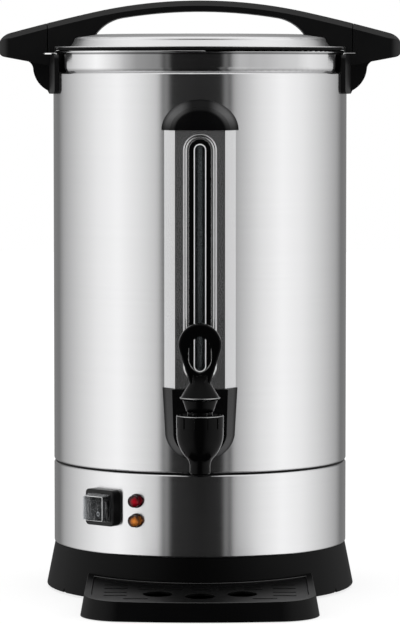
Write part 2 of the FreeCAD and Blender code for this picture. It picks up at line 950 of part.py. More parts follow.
def lid_plate():
    flange = lathe([
        (lid_base_r - lid_wall - 2, lid_z), (lid_r - lid_wall / 2, lid_z),
        corner(lid_r - lid_wall / 2, lid_z + lid_wall / 2, lid_wall / 2, -90, 90),
        (lid_base_r - lid_wall - 2, lid_z + lid_wall),
    ])
    crown = lid_envelope(0).cut(disc(lid_r + 1, lid_z - 2, lid_z))
    plate = crown.fuse(flange).cut(lid_envelope(lid_wall))
    cuts = [disc(lid_screw_r + fit, lid_z, lid_top_z + 1, side * lid_screw_x, y)
            for side in (-1, 1) for y in (-lid_screw_y, lid_screw_y)]
    return plate.cut(cuts).removeSplitter()


def lid_gasket():
    low = rim_z + slip
    out_r = rim_ring_r + rim_r
    plug_r = rim_ring_r - rim_r - slip
    return lathe([
        (plug_r - gasket_plug_t, low - gasket_plug_h),
        (plug_r - 1, low - gasket_plug_h),
        (plug_r, low - gasket_plug_h + 1),
        (plug_r, low),
        (out_r, low),
        (out_r, low + gasket_t),
        (plug_r - gasket_w, low + gasket_t),
        (plug_r - gasket_w, low),
        (plug_r - gasket_plug_t, low),
    ])


# Handles

def both_sides(half):
    """A closed outline from its right half, listed from the top centre to the bottom centre."""
    ends = [point[1] if isinstance(point[0], tuple) else point for point in half]
    outline = list(half)
    for k in range(len(half) - 1, 0, -1):
        x, z = ends[k - 1]
        if isinstance(half[k][0], tuple):
            middle_x, middle_z = half[k][0]
            outline.append(((-middle_x, middle_z), (-x, z)))
        else:
            outline.append((-x, z))
    return outline


def tip_centre():
    """Where the round tip of the handle turns about, and the angle at which it starts."""
    knee = math.asin(arch_knee / arch_bend)
    arm_x = (arch_bend - arm_bend) * math.sin(knee)
    arm_z = crown_z - arch_bend + (arch_bend - arm_bend) * math.cos(knee)
    end = math.asin((handle_reach - tip_r - arm_x) / (arm_bend - tip_r))
    tip_x = arm_x + (arm_bend - tip_r) * math.sin(end)
    tip_z = arm_z + (arm_bend - tip_r) * math.cos(end)
    return (arm_x, arm_z), (tip_x, tip_z), 90 - math.degrees(end)


def underside(x):
    """Height of the side handle's underside."""
    start = tip_centre()[1][1] - tip_low_r * math.cos(math.radians(grip_slope))
    run = handle_reach - tip_low_r - tip_low_r * math.sin(math.radians(grip_slope)) - x
    return start - run * math.tan(math.radians(grip_slope))


def bar_wire(drop, y):
    """The outline of the handles from tip to tip, its top edge dropped by the bevel."""
    arm, tip, tip_start = tip_centre()
    knee = 90 - math.degrees(math.asin(arch_knee / arch_bend))
    middle = math.radians(tip_start / 2)
    via_r = tip_r - drop * 0.55
    via = (tip[0] + via_r * math.cos(middle), tip[1] + via_r * math.sin(middle))
    under = corner(handle_reach - tip_low_r, tip[1], tip_low_r, 0, grip_slope - 90)
    half = [
        (0, crown_z - drop),
        corner(0, crown_z - arch_bend, arch_bend - drop, 90, knee),
        corner(*arm, arm_bend - drop, knee, tip_start),
        (via, (handle_reach, tip[1])),
        under,
        (body_r, underside(body_r)),
        (0, underside(body_r)),
    ]
    return face_of(both_sides(half), lambda x, z: V(x, y, z)).OuterWire


def handle_bar():
    """The bevelled bar from tip to tip that both the lid handle and the side handles are cut from."""
    half = arch_w / 2
    bar = Part.makeLoft([
        bar_wire(arch_bevel, -half), bar_wire(0, -half + arch_bevel),
        bar_wire(0, half - arch_bevel), bar_wire(arch_bevel, half),
    ], True, True)
    r = tip_plan_r
    x = handle_reach
    plan = slab_xy([
        (-x + r, -half), (x - r, -half), corner(x - r, -half + r, r, -90, 0), (x, half - r),
        corner(x - r, half - r, r, 0, 90), (-x + r, half), corner(-x + r, half - r, r, 90, 180),
        (-x, -half + r), corner(-x + r, -half + r, r, 180, 270),
    ], leg_low_z - 1, crown_z + 1)
    return outward(bar).common(plan)


def hand_gap():
    """The opening under the arch: its underside runs into a round corner on each side."""
    r = arch_bend - arch_t
    arch_z = crown_z - arch_bend
    half = hand_gap_half
    low = lid_top_z - 1
    x = half - hand_gap_corner
    z = arch_z + math.sqrt(r ** 2 - x ** 2)
    lean = math.atan2(x, z - arch_z)
    along = (x - half) * math.sin(lean) + (z - lid_top_z) * math.cos(lean)
    bend = ((x - half) ** 2 + (z - lid_top_z) ** 2) / (2 * along)
    cx = x - bend * math.sin(lean)
    cz = z - bend * math.cos(lean)
    low_angle = math.degrees(math.atan2(lid_top_z - cz, half - cx))
    high_angle = 90 - math.degrees(lean)
    return slab_xz([
        (-half, low), (half, low), (half, lid_top_z),
        corner(cx, cz, bend, low_angle, high_angle),
        corner(0.0, arch_z, r, high_angle, 180 - high_angle),
        corner(-cx, cz, bend, 180 - high_angle, 180 - low_angle),
    ], -arch_w, arch_w)


def lid_handle(bar):
    keep = disc(seam_r - slip, foot_z, crown_z + 1)
    under = lid_envelope(0)
    flange = disc(lid_r, lid_z - 20, lid_z + lid_wall)
    rim = disc(lid_r + fit, foot_z - 5, lid_z)
    cuts = [hand_gap(), under, flange, rim]
    for side in (-1, 1):
        for y in (-lid_screw_y, lid_screw_y):
            cuts.append(disc(lid_screw_r, lid_z, lid_top_z + lid_screw_len, side * lid_screw_x, y))
    return bar.common(keep).cut(cuts)


def lid_handle_screws():
    screws = []
    low = lid_screw_seat()
    for side in (-1, 1):
        for y in (-lid_screw_y, lid_screw_y):
            x = side * lid_screw_x
            head = disc(lid_screw_head_r, low - lid_screw_head_h, low, x, y)
            shank = disc(lid_screw_r, low, lid_top_z + lid_screw_len, x, y)
            screws.append(head.fuse(shank))
    return Part.makeCompound(screws)


def side_handle(bar, lip_out):
    """The handle on the right. The left one is made the same way and mirrored."""
    inner = body_r + fit
    outer = inner + handle_plate_t
    half = arch_w / 2
    wing = bar.common(block(0, handle_reach + 1, -half - 1, half + 1, leg_low_z, crown_z))
    lip = disc(body_r + lip_out, shelf_z - 1, foot_z - slip)
    slit = block(0, seam_r + slot_depth, -half - 1, half + 1, shelf_z, foot_z)
    wing = wing.cut([disc(seam_r + slip, shelf_z, crown_z + 1).cut(lip), slit.cut(lip)])
    nose_x = outer + gusset_out
    root_x = nose_x + gusset_root
    root_z = underside(root_x)
    gusset = slab_xz([
        (inner, leg_low_z),
        (outer, leg_low_z),
        (outer + gusset_toe, leg_low_z + gusset_toe * 2),
        corner(nose_x - gusset_r, root_z - gusset_drop, gusset_r, gusset_turn, 0),
        corner(root_x, root_z - gusset_root, gusset_root, 180, 90),
        (root_x + 2, root_z + 1),
        (inner, root_z + 1),
    ], -gusset_t / 2, gusset_t / 2)
    corners = slab_yz([
        (-plate_half, leg_low_z + plate_corner),
        corner(-plate_half + plate_corner, leg_low_z + plate_corner, plate_corner, 180, 270),
        (plate_half - plate_corner, leg_low_z),
        corner(plate_half - plate_corner, leg_low_z + plate_corner, plate_corner, 270, 360),
        (plate_half, shelf_z - plate_corner),
        corner(plate_half - plate_corner, shelf_z - plate_corner, plate_corner, 0, 90),
        (-plate_half + plate_corner, shelf_z),
        corner(-plate_half + plate_corner, shelf_z - plate_corner, plate_corner, 90, 180),
    ], 0, outer + 1)
    plate = ring(inner, outer, leg_low_z - 1, shelf_z + 1).common(corners)
    handle = fused([wing, gusset, plate])
    cuts = [disc(inner, leg_low_z - 1, crown_z)]
    for side, angle, z in handle_screw_spots():
        if side == 0:
            cuts.append(turned(rod(screw_r, V(body_r - 2, 0, z), V(inner + 2.2, 0, z)), angle))
    return handle.cut(cuts)


def side_handle_screws():
    screws = []
    for side, angle, z in handle_screw_spots():
        head = rod(screw_head_r, V(casing_in_r - 2.2, 0, z), V(casing_in_r - 0.2, 0, z))
        shank = rod(screw_r, V(casing_in_r - 1, 0, z), V(body_r + fit + 2.2, 0, z))
        screws.append(turned(head.fuse(shank), side + angle))
    return Part.makeCompound(screws)


# Level gauge

def wedge_prism(inset, z_low, z_high):
    """The channel's outer form, shrunk by an inset, from behind the casing's surface to its face."""
    slant = math.sqrt(1 + gauge_slope ** 2)
    face = panel_y + inset
    half = gauge_flat + gauge_slope * inset - inset * slant
    back = -body_r + 12
    wide = half + gauge_slope * (back - face)
    return slab_xy([(-half, face), (half, face), (wide, back), (-wide, back)], z_low, z_high)


def gauge_panel():
    low = esc_top_z - gauge_tuck
    high = shell_top_z - gauge_top_drop
    skin = wedge_prism(0, low, high).cut(wedge_prism(gauge_wall, low - 1, high + 1))
    bead_top = shell_top_z - bead_top_drop
    outer = slab_xz(stadium(bead_half, bead_low_z, bead_top), panel_y - bead_h, panel_y + 0.2)
    inner_half = bead_half - bead_w
    shift = bead_w
    inner = slab_xz(stadium(inner_half, bead_low_z + shift, bead_top - shift), panel_y - 2, panel_y + 0.3)
    skin = skin.fuse(outer.cut(inner))
    gap = bead_half - inset_half
    hole = slab_xz(stadium(inset_half, bead_low_z + gap, bead_top - gap), panel_y - 2, panel_y + 2)
    return skin.cut([hole, disc(body_r + fit, low - 1, high + 1)])


def inset_outline(half):
    gap = bead_half - half
    return stadium(half, bead_low_z + gap, shell_top_z - bead_top_drop - gap)


def window_outline(half):
    gap = window_half - half
    return stadium(half, window_low_z + gap, shell_top_z - window_top_drop - gap)


def gauge_inset():
    back = panel_y + gauge_wall + fit
    plug = slab_xz(inset_outline(inset_half - fit), panel_y, back)
    flange = slab_xz(inset_outline(inset_half + inset_flange), back, back + inset_t - gauge_wall)
    hole = slab_xz(window_outline(window_half), panel_y - 1, back + 5)
    return plug.fuse(flange).cut(hole)


def gauge_window():
    face = panel_y - window_bevel
    lens = slab_xz(window_outline(window_half - fit), face, face + window_t)
    front = [edge for edge in lens.Edges if edge.BoundBox.YMax < face + 1e-6]
    return lens.makeChamfer(window_bevel, front)


glass_low_z = tap_z + shank_r + 4.0
glass_top_z = shell_top_z - window_top_drop + 9.0


def sight_glass():
    return ring(glass_r - glass_wall, glass_r, glass_low_z, glass_top_z, 0, glass_y)


def sight_seals():
    top = tap_z + base_above
    low_seal = lathe([
        (glass_r, top - seal_h), (glass_r + seal_wall, top - seal_h),
        (glass_r + seal_wall, top + seal_show), (glass_r, top + seal_show),
    ], 0, glass_y)
    plug = lathe([
        (vent_r, glass_top_z), (glass_r, glass_top_z), (glass_r, glass_top_z - seal_h),
        (glass_r + seal_wall, glass_top_z - seal_h),
        (glass_r + seal_wall, glass_top_z + seal_show), (vent_r, glass_top_z + seal_show),
    ], 0, glass_y)
    return Part.makeCompound([low_seal, plug])


def gauge_base():
    top = tap_z + base_above
    front = panel_y + gauge_wall + 0.5
    body = block(-base_half, base_half, front, -body_r + 5, tap_z - base_below, top)
    cuts = [
        disc(body_r + fit, tap_z - base_below - 1, top + 1),
        front_hole(shank_r + fit, tap_z, body_r - 10, body_r + 30),
        disc(glass_r + fit, glass_low_z, top + 1, 0, glass_y),
        disc(glass_r + seal_wall, top - seal_h, top + 1, 0, glass_y),
        disc(duct_r, tap_z, glass_low_z + 1, 0, glass_y),
    ]
    return body.cut(cuts)


def moon_wire(half, height, z, y):
    ellipse = Part.Ellipse(V(0, y, z), half, height)
    arc = Part.ArcOfEllipse(ellipse, 0, math.pi).toShape()
    arc.rotate(V(0, y, z), V(1, 0, 0), 90)
    line = Part.LineSegment(V(-half, y, z), V(half, y, z)).toShape()
    return Part.Wire([arc, line])


def gauge_hood():
    z = shell_top_z - hood_low_drop
    back = -body_r + 4
    outer = Part.makeLoft([moon_wire(hood_half + hood_flare, hood_h + hood_flare, z, back),
                           moon_wire(hood_face_half, hood_face_h, z, cover_y)], True, True)
    face_edges = [edge for edge in outer.Edges
                  if edge.BoundBox.YMax < cover_y + 1e-4 and edge.BoundBox.ZMax > z + 1]
    outer = outer.makeFillet(hood_edge_r, face_edges)
    w = cover_wall
    inner = Part.makeLoft([moon_wire(hood_half + hood_flare - w, hood_h + hood_flare - w, z, back + 0.1),
                           moon_wire(hood_face_half - w, hood_face_h - w, z, cover_y + w)], True, True)
    inner = inner.fuse(block(-hood_face_half + w, hood_face_half - w, cover_y + w, back, z - 1, z + 0.1))
    hood = outer.cut(inner)
    panel_top = shell_top_z - gauge_top_drop
    return hood.cut([disc(body_r + fit, z - 1, z + hood_h + 5), wedge_prism(-fit, z - 1, panel_top + fit)])


def tongue_outline(half_top, half_mid, round_h, z_top, z_low):
    """An upright tongue: a level top edge, slightly tapering sides and a round bottom."""
    mid = z_low + round_h
    k = math.sqrt(0.5)
    return [
        (-half_top, z_top), (-half_mid, mid),
        ((-half_mid * k, mid - round_h * k), (0, z_low)),
        ((half_mid * k, mid - round_h * k), (half_mid, mid)),
        (half_top, z_top),
    ]


def tongue_wire(points, y):
    return face_of(points, lambda x, z: V(x, y, z)).OuterWire


def tap_escutcheon():
    back = -body_r + 4
    mid_half = esc_half - esc_taper
    w = cover_wall
    face_mid = esc_face_half - esc_taper / 2
    grow = hood_flare
    outer = Part.makeLoft([
        tongue_wire(tongue_outline(esc_half + grow, mid_half + grow, esc_round_h + grow,
                                   esc_top_z, esc_low_z - grow), back),
        tongue_wire(tongue_outline(esc_face_half, face_mid, esc_round_h - esc_face_rise / 2,
                                   esc_top_z, esc_low_z + esc_face_rise), cover_y),
    ], True, True)
    inner = Part.makeLoft([
        tongue_wire(tongue_outline(esc_half + grow - w, mid_half + grow - w, esc_round_h + grow - w,
                                   esc_top_z + 1, esc_low_z - grow + w), back + 0.1),
        tongue_wire(tongue_outline(esc_face_half - w, face_mid - w, esc_round_h - esc_face_rise / 2 - w,
                                   esc_top_z + 1, esc_low_z + esc_face_rise + w), cover_y + w),
    ], True, True)
    cover = outer.cut(inner)
    channel_seat = wedge_prism(-fit, esc_top_z - gauge_tuck - slip, esc_top_z + 5)
    cover = cover.cut([disc(body_r + fit, esc_low_z - 5, esc_top_z + 5), channel_seat,
                       front_hole(shank_r + fit, tap_z, body_r, body_r + 30)])
    return cover


# Tap

def tap_body():
    low = spout_low_z
    turn = math.radians(belly_turn)
    blend = (belly_r - belly_bend * (1 - math.cos(turn)) - spout_r) / (1 - math.cos(turn))
    blend_z = belly_z - (belly_bend + blend) * math.sin(turn)
    body = lathe([
        (0, low), (spout_r - 0.5, low), (spout_r, low + 0.5), (spout_r, blend_z),
        corner(spout_r + blend, blend_z, blend, 180, 180 - belly_turn),
        corner(belly_r - belly_bend, belly_z, belly_bend, -belly_turn, 0),
        (belly_r, parting_z),
        (0, parting_z),
    ], 0, tap_y)
    collar_low = -cover_y
    tail = tank_in_r - washer_t - tap_nut_t - shank_tail
    shank = front_hole(shank_r, tap_z, tail, -tap_y)
    collar = front_hole(collar_r, tap_z, collar_low, collar_low + collar_t)
    neck = front_hole(shank_r + 1.5, tap_z, collar_low, -tap_y)
    body = fused([body, shank, collar, neck])
    return body.cut([
        disc(bonnet_r + fit, parting_z, parting_z + bonnet_h, 0, tap_y),
        disc(spout_bore_r, low - 1, seat_z + 1, 0, tap_y),
        disc(chamber_r, seat_z, parting_z + 1, 0, tap_y),
        front_hole(shank_bore_r, tap_z, tail - 1, -tap_y),
        disc(duct_r, tap_z, tap_z + shank_r + 1, 0, glass_y),
    ])


def tap_bonnet():
    bonnet = lathe([
        (chamber_r, parting_z), (bonnet_r - 0.2, parting_z), (bonnet_r, parting_z + 0.6),
        (bonnet_r, bonnet_z - 0.6), (bonnet_r - 0.6, bonnet_z), (bonnet_r - 2.4, bonnet_z),
        (bonnet_r - 3.4, dish_z), (socket_thread_r, dish_z), (socket_thread_r, dish_z - bonnet_top_t),
        (chamber_r, dish_z - bonnet_top_t),
    ], 0, tap_y)
    cuts = []
    for k in range(groove_count):
        groove = block(-groove_w / 2, groove_w / 2, -bonnet_r - 1, -bonnet_r + groove_d,
                       parting_z + 0.4, bonnet_z + 1)
        groove.rotate(V(0, 0, 0), V(0, 0, 1), groove_turn + 360 * k / groove_count)
        groove.translate(V(0, tap_y, 0))
        cuts.append(groove)
    return bonnet.cut(cuts)


def lever_socket():
    base_top = dish_z + socket_base_t
    body = lathe([
        (stem_r + slip, dish_z - bonnet_top_t), (socket_thread_r, dish_z - bonnet_top_t),
        (socket_thread_r, dish_z), (socket_low_r - 0.8, dish_z), (socket_low_r - 0.8, socket_low_z - 0.8),
        (socket_low_r, socket_low_z), (socket_top_r, socket_top_z), (0, socket_top_z), (0, base_top),
        (stem_r + slip, base_top),
    ], 0, tap_y)
    slot = block(-slot_half, slot_half, tap_y - slot_front, tap_y + socket_top_r + 1,
                 base_top, socket_top_z + 1)
    pin_hole = rod(pin_r, V(-20, tap_y, pin_z), V(20, tap_y, pin_z))
    return body.cut([slot, pin_hole])


def tap_pin():
    k = (pin_z - socket_low_z) / socket_h
    half = socket_low_r + k * (socket_top_r - socket_low_r) - 0.6
    return rod(pin_r, V(-half, tap_y, pin_z), V(half, tap_y, pin_z))


def ring_plate():
    """The finger ring of the lever, with rounded edges."""
    neck_z = skirt_low_z + skirt_rise
    reach = ring_z - neck_z
    tilt = math.degrees(math.asin((ring_r - neck_half) / reach))
    start = (-neck_half * math.cos(math.radians(tilt)), neck_z + neck_half * math.sin(math.radians(-tilt)))
    left = (-ring_r * math.cos(math.radians(tilt)), ring_z - ring_r * math.sin(math.radians(tilt)))
    outer = slab_xz([
        (start[0], start[1]), left,
        corner(0, ring_z, ring_r, 180 + tilt, -tilt),
        (-start[0], start[1]),
    ], -ring_t / 2, ring_t / 2)
    edges = [edge for edge in outer.Edges
             if abs(edge.BoundBox.YMax - edge.BoundBox.YMin) < 1e-6 and edge.BoundBox.ZMax > neck_z + 1]
    outer = outer.makeFillet(ring_edge, edges)
    k = math.sqrt(0.5)
    hole = slab_xz([
        (-hole_half, hole_z), ((-hole_half * k, hole_z - hole_rise * k), (0, hole_z - hole_rise)),
        ((hole_half * k, hole_z - hole_rise * k), (hole_half, hole_z)),
        ((hole_half * k, hole_z + hole_rise * k), (0, hole_z + hole_rise)),
        ((-hole_half * k, hole_z + hole_rise * k), (-hole_half, hole_z)),
    ], -ring_t, ring_t)
    plate = outer.cut(hole)
    plate.translate(V(0, tap_y, 0))
    return plate


def lever_side():
    """The lever's side outline: straight faces above the skirt's rim that bend up into the ring."""
    rim_z = skirt_low_z + 0.3
    bend_z = skirt_low_z + skirt_rise / 2
    bend_y = skirt_r0 - (bend_z - rim_z) * side_lean
    via_z = skirt_low_z + skirt_rise
    via_y = bend_y - (via_z - bend_z) * side_lean * 0.86
    end_z = skirt_low_z + skirt_rise + neck_rise + 0.5
    front = [(-skirt_r0, rim_z), (-bend_y, bend_z), ((-via_y, via_z), (-ring_t / 2, end_z))]
    back = [(ring_t / 2, end_z), ((via_y, via_z), (bend_y, bend_z)), (skirt_r0, rim_z)]
    outline = front + back + [(skirt_r0, skirt_low_z - 1), (-skirt_r0, skirt_low_z - 1)]
    side = slab_yz(outline, -skirt_r0, skirt_r0)
    side.translate(V(0, tap_y, 0))
    return side


def tap_lever():
    neck_z = skirt_low_z + skirt_rise
    slope = (skirt_r0 - neck_half) / skirt_rise
    inside_top = skirt_low_z + skirt_rise * 0.66
    skirt = lathe([
        (skirt_r0 - skirt_thin, skirt_low_z), (skirt_r0 - 0.2, skirt_low_z), (skirt_r0, skirt_low_z + 0.3),
        (neck_half, neck_z), (neck_half - 0.4, neck_z + neck_rise), (0, neck_z + neck_rise), (0, inside_top),
        (skirt_r0 - skirt_thin - slope * (inside_top - skirt_low_z), inside_top),
    ], 0, tap_y)
    skirt = skirt.common(lever_side())
    tongue = block(-tongue_half, tongue_half, tap_y - eye_r, tap_y + eye_r, pin_z, inside_top + 0.5)
    eye = rod(eye_r, V(-tongue_half, tap_y, pin_z), V(tongue_half, tap_y, pin_z))
    arm = block(-tongue_half, tongue_half, tap_y, tap_y + nose_off, pin_z - nose_r, pin_z + nose_r)
    nose = rod(nose_r, V(-tongue_half, tap_y + nose_off, pin_z), V(tongue_half, tap_y + nose_off, pin_z))
    lever = fused([skirt, ring_plate(), tongue, eye, arm, nose])
    return lever.cut(rod(pin_r + 0.06, V(-20, tap_y, pin_z), V(20, tap_y, pin_z)))


stem_top_z = dish_z + socket_base_t + slip + stem_head_t


def tap_stem():
    head_low = stem_top_z - stem_head_t
    inner = tongue_half + cheek_gap
    outer = inner + cheek_t
    bridge_low = pin_z + nose_r + slip
    y_back = tap_y + nose_off + nose_r + 0.3
    y_front = tap_y + eye_r + 0.4
    pieces = [
        disc(stem_r, seat_z + 2, stem_top_z, 0, tap_y),
        block(-outer, outer, tap_y - stem_r, y_back, head_low, stem_top_z),
        block(-outer, outer, y_front, y_back, bridge_low, bridge_low + cheek_t),
    ]
    for side in (-1, 1):
        low_x, high_x = sorted((side * inner, side * outer))
        pieces.append(block(low_x, high_x, y_front, y_back, head_low, bridge_low + cheek_t))
    return fused(pieces)


def seat_cup():
    cup = lathe([
        (0, seat_z + slip), (cup_r - 2, seat_z + slip), (cup_r, seat_z + 1.5),
        (cup_r, seat_z + cup_h - 1), (cup_r - 1, seat_z + cup_h), (0, seat_z + cup_h),
    ], 0, tap_y)
    return cup.cut(disc(stem_r, seat_z + 2, seat_z + cup_h + 1, 0, tap_y))


def tap_spring():
    """Compression spring between the seat cup and the bonnet, as one tube on a helix."""
    low = seat_z + cup_h + spring_wire_r
    high = dish_z - bonnet_top_t - spring_wire_r
    coil = Part.makeHelix((high - low) / spring_turns, high - low, spring_r - spring_wire_r)
    start = V(spring_r - spring_wire_r, 0, 0)
    circle = Part.Wire(Part.makeCircle(spring_wire_r, start, V(0, 1, 0)))
    pipe = Part.Wire(coil.Edges).makePipeShell([circle], True, True)
    solid = outward(Part.Solid(pipe)) if pipe.ShapeType == "Shell" else outward(pipe)
    solid.translate(V(0, tap_y, low))
    return solid


def tap_washers():
    inside = tank_in_r
    return front_hole(washer_r, tap_z, inside - washer_t, inside + 5).cut([
        front_hole(shank_r, tap_z, inside - 20, inside + 20),
        Part.makeCylinder(tank_r + 20, 60, V(0, 0, tap_z - 30)).cut(disc(tank_in_r, tap_z - 31, tap_z + 31)),
    ])


def tap_nut():
    inside = tank_in_r - washer_t
    r = tap_nut_flats / math.sqrt(3)
    points = [(polar(r, 60 * k)[0], tap_z + polar(r, 60 * k)[1]) for k in range(6)]
    nut = slab_xz(points, -inside, -inside + tap_nut_t)
    return nut.cut(front_hole(shank_r, tap_z, inside - 20, inside + 5))


# Lamps and switch

def lamp(z):
    top = body_r + lens_proud
    wall = body_r + lens_proud - lens_dome
    bulge = (lens_r ** 2 + lens_dome ** 2) / (2 * lens_dome)
    start = math.degrees(math.asin(lens_r / bulge))
    mid = math.radians(start / 2)
    via = (bulge * math.sin(mid), top - bulge + bulge * math.cos(mid))
    body = lathe_out([
        (0, body_r - lamp_body_len), (lamp_body_r, body_r - lamp_body_len), (lamp_body_r, body_r + fit),
        (lens_rim_r, body_r + fit), (lens_rim_r, body_r + lens_rim_t - 0.4),
        (lens_rim_r - 0.4, body_r + lens_rim_t), (lens_r, body_r + lens_rim_t), (lens_r, wall),
        (via, (0, top)),
    ], z)
    return turned(body, lamp_angle)


def lamp_clips():
    clips = []
    high = casing_in_r - 0.4
    for z in (lamp_red_z, lamp_amber_z):
        clip = lathe_out([(lamp_body_r, high - clip_t), (clip_r, high - clip_t), (clip_r, high),
                          (lamp_body_r, high)], z)
        clips.append(turned(clip, lamp_angle))
    return Part.makeCompound(clips)


switch_face = body_r + switch_proud
rocker_y = -switch_face + rocker_pivot


def switch_frame():
    half_w = switch_w / 2
    half_h = switch_h / 2
    front = block(-half_w, half_w, -switch_face, -body_r + 4, switch_z - half_h, switch_z + half_h)
    upright = [edge for edge in front.Edges
               if abs(edge.BoundBox.YMax - edge.BoundBox.YMin) > switch_proud]
    front = front.makeFillet(switch_corner, upright)
    face_edges = [edge for edge in front.Edges if edge.BoundBox.YMax < -switch_face + 1e-4]
    front = front.makeFillet(edge_r, face_edges)
    front = front.cut(disc(body_r + fit, switch_z - 30, switch_z + 30))
    half = switch_body / 2
    body = block(-half, half, -body_r - 1, -body_r + switch_body_d, switch_z - half, switch_z + half)
    back = -body_r + switch_body_d
    tabs = [block(-3, 3, back, back + switch_tab, z - 0.4, z + 0.4)
            for z in (switch_z - 6, switch_z + 6)]
    pocket = block(-pocket_w / 2, pocket_w / 2, -switch_face - 1, -switch_face + pocket_d,
                   switch_z - pocket_h / 2, switch_z + pocket_h / 2)
    frame = fused([front, body] + tabs).cut(pocket)
    pegs = []
    for side in (-1, 1):
        inner = side * (rocker_w / 2 - peg_in)
        outer = side * (pocket_w / 2 + fit)
        pegs.append(rod(peg_r, V(inner, rocker_y, switch_z), V(outer, rocker_y, switch_z)))
    return turned(fused([frame] + pegs), switch_angle)


def switch_rocker():
    half = rocker_h / 2
    points = [
        (-rocker_front - rocker_dish, -half), (-rocker_front, 0), (-rocker_front - rocker_dish, half),
        (0, half), (rocker_back, half * 0.45), (rocker_back, -half * 0.45), (0, -half),
    ]
    placed = [(rocker_y + d, switch_z + h) for d, h in points]
    rocker = slab_yz(placed, -rocker_w / 2, rocker_w / 2)
    for side in (-1, 1):
        deep = V(side * (rocker_w / 2 - peg_in - slip), rocker_y, switch_z)
        rocker = rocker.cut(rod(peg_r + fit, deep, V(side * rocker_w, rocker_y, switch_z)))
    rocker.rotate(V(0, rocker_y, switch_z), V(1, 0, 0), rocker_tilt)
    return turned(rocker, switch_angle)


def cap_wire(shrink, depth):
    """The cap's outline at a depth from its front, drawn in by its slope."""
    half_w = cap_w / 2 - cap_draw * (1 - depth / cap_proud) - shrink
    half_h = cap_h / 2 - cap_draw * (1 - depth / cap_proud) - shrink
    y = -switch_face - cap_proud + depth
    corners = [V(-half_w, y, switch_z - half_h), V(half_w, y, switch_z - half_h),
               V(half_w, y, switch_z + half_h), V(-half_w, y, switch_z + half_h)]
    return Part.makePolygon(corners + corners[:1])


def switch_cap():
    shell = Part.makeLoft([cap_wire(0, 0), cap_wire(0, cap_proud)], True, True)
    corners = [edge for edge in shell.Edges
               if abs(edge.BoundBox.YMax - edge.BoundBox.YMin) > cap_proud - 0.1]
    shell = shell.makeFillet(cap_edge, corners)
    front = [edge for edge in shell.Edges if edge.BoundBox.YMax < -switch_face - cap_proud + 0.01]
    shell = shell.makeFillet(cap_roll, front)
    inside = Part.makeLoft([cap_wire(cap_wall, cap_wall), cap_wire(cap_wall, cap_proud + 1)], True, True)
    return turned(shell.cut(inside), switch_angle)


# Drip tray

def tray_plan(inset, z_low, z_high):
    """The tray's plan, shrunk by an inset, between two heights."""
    half = tray_half - inset
    front = -tray_front + inset
    side = front + tray_bow
    back = -20.0
    plate = slab_xy([(-half, back), (-half, side), ((0, front), (half, side)), (half, back)], z_low, z_high)
    edges = [edge for edge in plate.Edges
             if edge.BoundBox.ZMax - edge.BoundBox.ZMin > (z_high - z_low) * 0.9
             and edge.BoundBox.YMax < side + 1]
    return plate.makeFillet(tray_corner - inset, edges)


def plan_wire(inset, z):
    faces = tray_plan(inset, z, z + 1).Faces
    return [face for face in faces if face.BoundBox.ZMax < z + 1e-6][0].OuterWire


def tray_solid(inset, z_low, z_high):
    """The tray's drafted outer form, shrunk by an inset."""
    def spread(z):
        return tray_draft * (tray_off + tray_h - z) / tray_h
    return Part.makeLoft([plan_wire(inset - spread(z_low), z_low),
                          plan_wire(inset - spread(z_high), z_high)], True, True)


def tray_layer(drop_low, drop_high):
    """A sloping layer between two depths below the tray's top surface."""
    def top(y):
        return tray_off + tray_h + tray_slope * (y + tray_front)
    front = -tray_front - 10
    back = -20.0
    return slab_yz([
        (front, top(front) - drop_low), (back, top(back) - drop_low),
        (back, top(back) - drop_high), (front, top(front) - drop_high),
    ], -tray_half - 10, tray_half + 10)


def base_cone(gap, z_low, z_high):
    """Everything within the base skirt, grown by a gap."""
    return lathe([(0, z_low), (skirt_r(z_low) + gap, z_low), (skirt_r(z_high) + gap, z_high), (0, z_high)])


def drip_tray():
    low = tray_off
    high = tray_high_z
    floor = low + tray_floor
    deep = grid_drop + grid_t
    seat_w = tray_rim_w - grid_ledge
    body = tray_solid(0, low, high).common(tray_layer(high + 10, 0))
    body = body.cut(base_cone(tray_gap, low - 1, high + 1))
    basin = tray_solid(tray_wall, floor, high).common(tray_layer(high + 10, deep + shelf_t))
    basin = basin.cut(base_cone(tray_gap + tray_wall, low - 1, high + 1))
    mouth = tray_plan(tray_rim_w, floor, high + 1).cut(base_cone(tray_gap + tray_rim_w, 0, high + 2))
    seat = tray_plan(seat_w, floor, high + 1).common(tray_layer(deep, -10))
    seat = seat.cut(base_cone(tray_gap + seat_w, 0, high + 2))
    tabs = []
    for side in (-1, 1):
        x = side * tab_x
        r = skirt_r(tab_z) + tray_gap
        y = -math.sqrt(r ** 2 - (tab_x + tab_w / 2) ** 2)
        tabs.append(block(x - tab_w / 2, x + tab_w / 2, y - 6, y + tab_in, tab_z, tab_z + tab_t))
    return fused([body.cut([basin, mouth, seat])] + tabs)


def slot_cutter(x, y, length):
    r = slot_w / 2
    bar = block(x - length / 2 + r, x + length / 2 - r, y - r, y + r, 0, tray_high_z)
    ends = [disc(r, 0, tray_high_z, x + side * (length / 2 - r), y) for side in (-1, 1)]
    return bar.multiFuse(ends)


def drip_grid():
    inset = tray_rim_w - grid_ledge + slip
    grid = tray_plan(inset, 0, tray_high_z).common(tray_layer(grid_drop + grid_t - slip, grid_drop))
    grid = grid.cut(base_cone(tray_gap + inset, -1, tray_high_z + 1))
    cuts = []
    for k in (-1, 0, 1):
        y = -cup_hole_y + abs(k) * cup_hole_back
        cuts.append(disc(cup_hole_r, 0, tray_high_z, k * cup_hole_pitch, y))
    for x, length, rows in slot_rows:
        for row in rows:
            for side in ((-1, 1) if x > 0 else (1,)):
                cuts.append(slot_cutter(side * x, -row, length))
    return grid.cut(cuts)


# Percolator

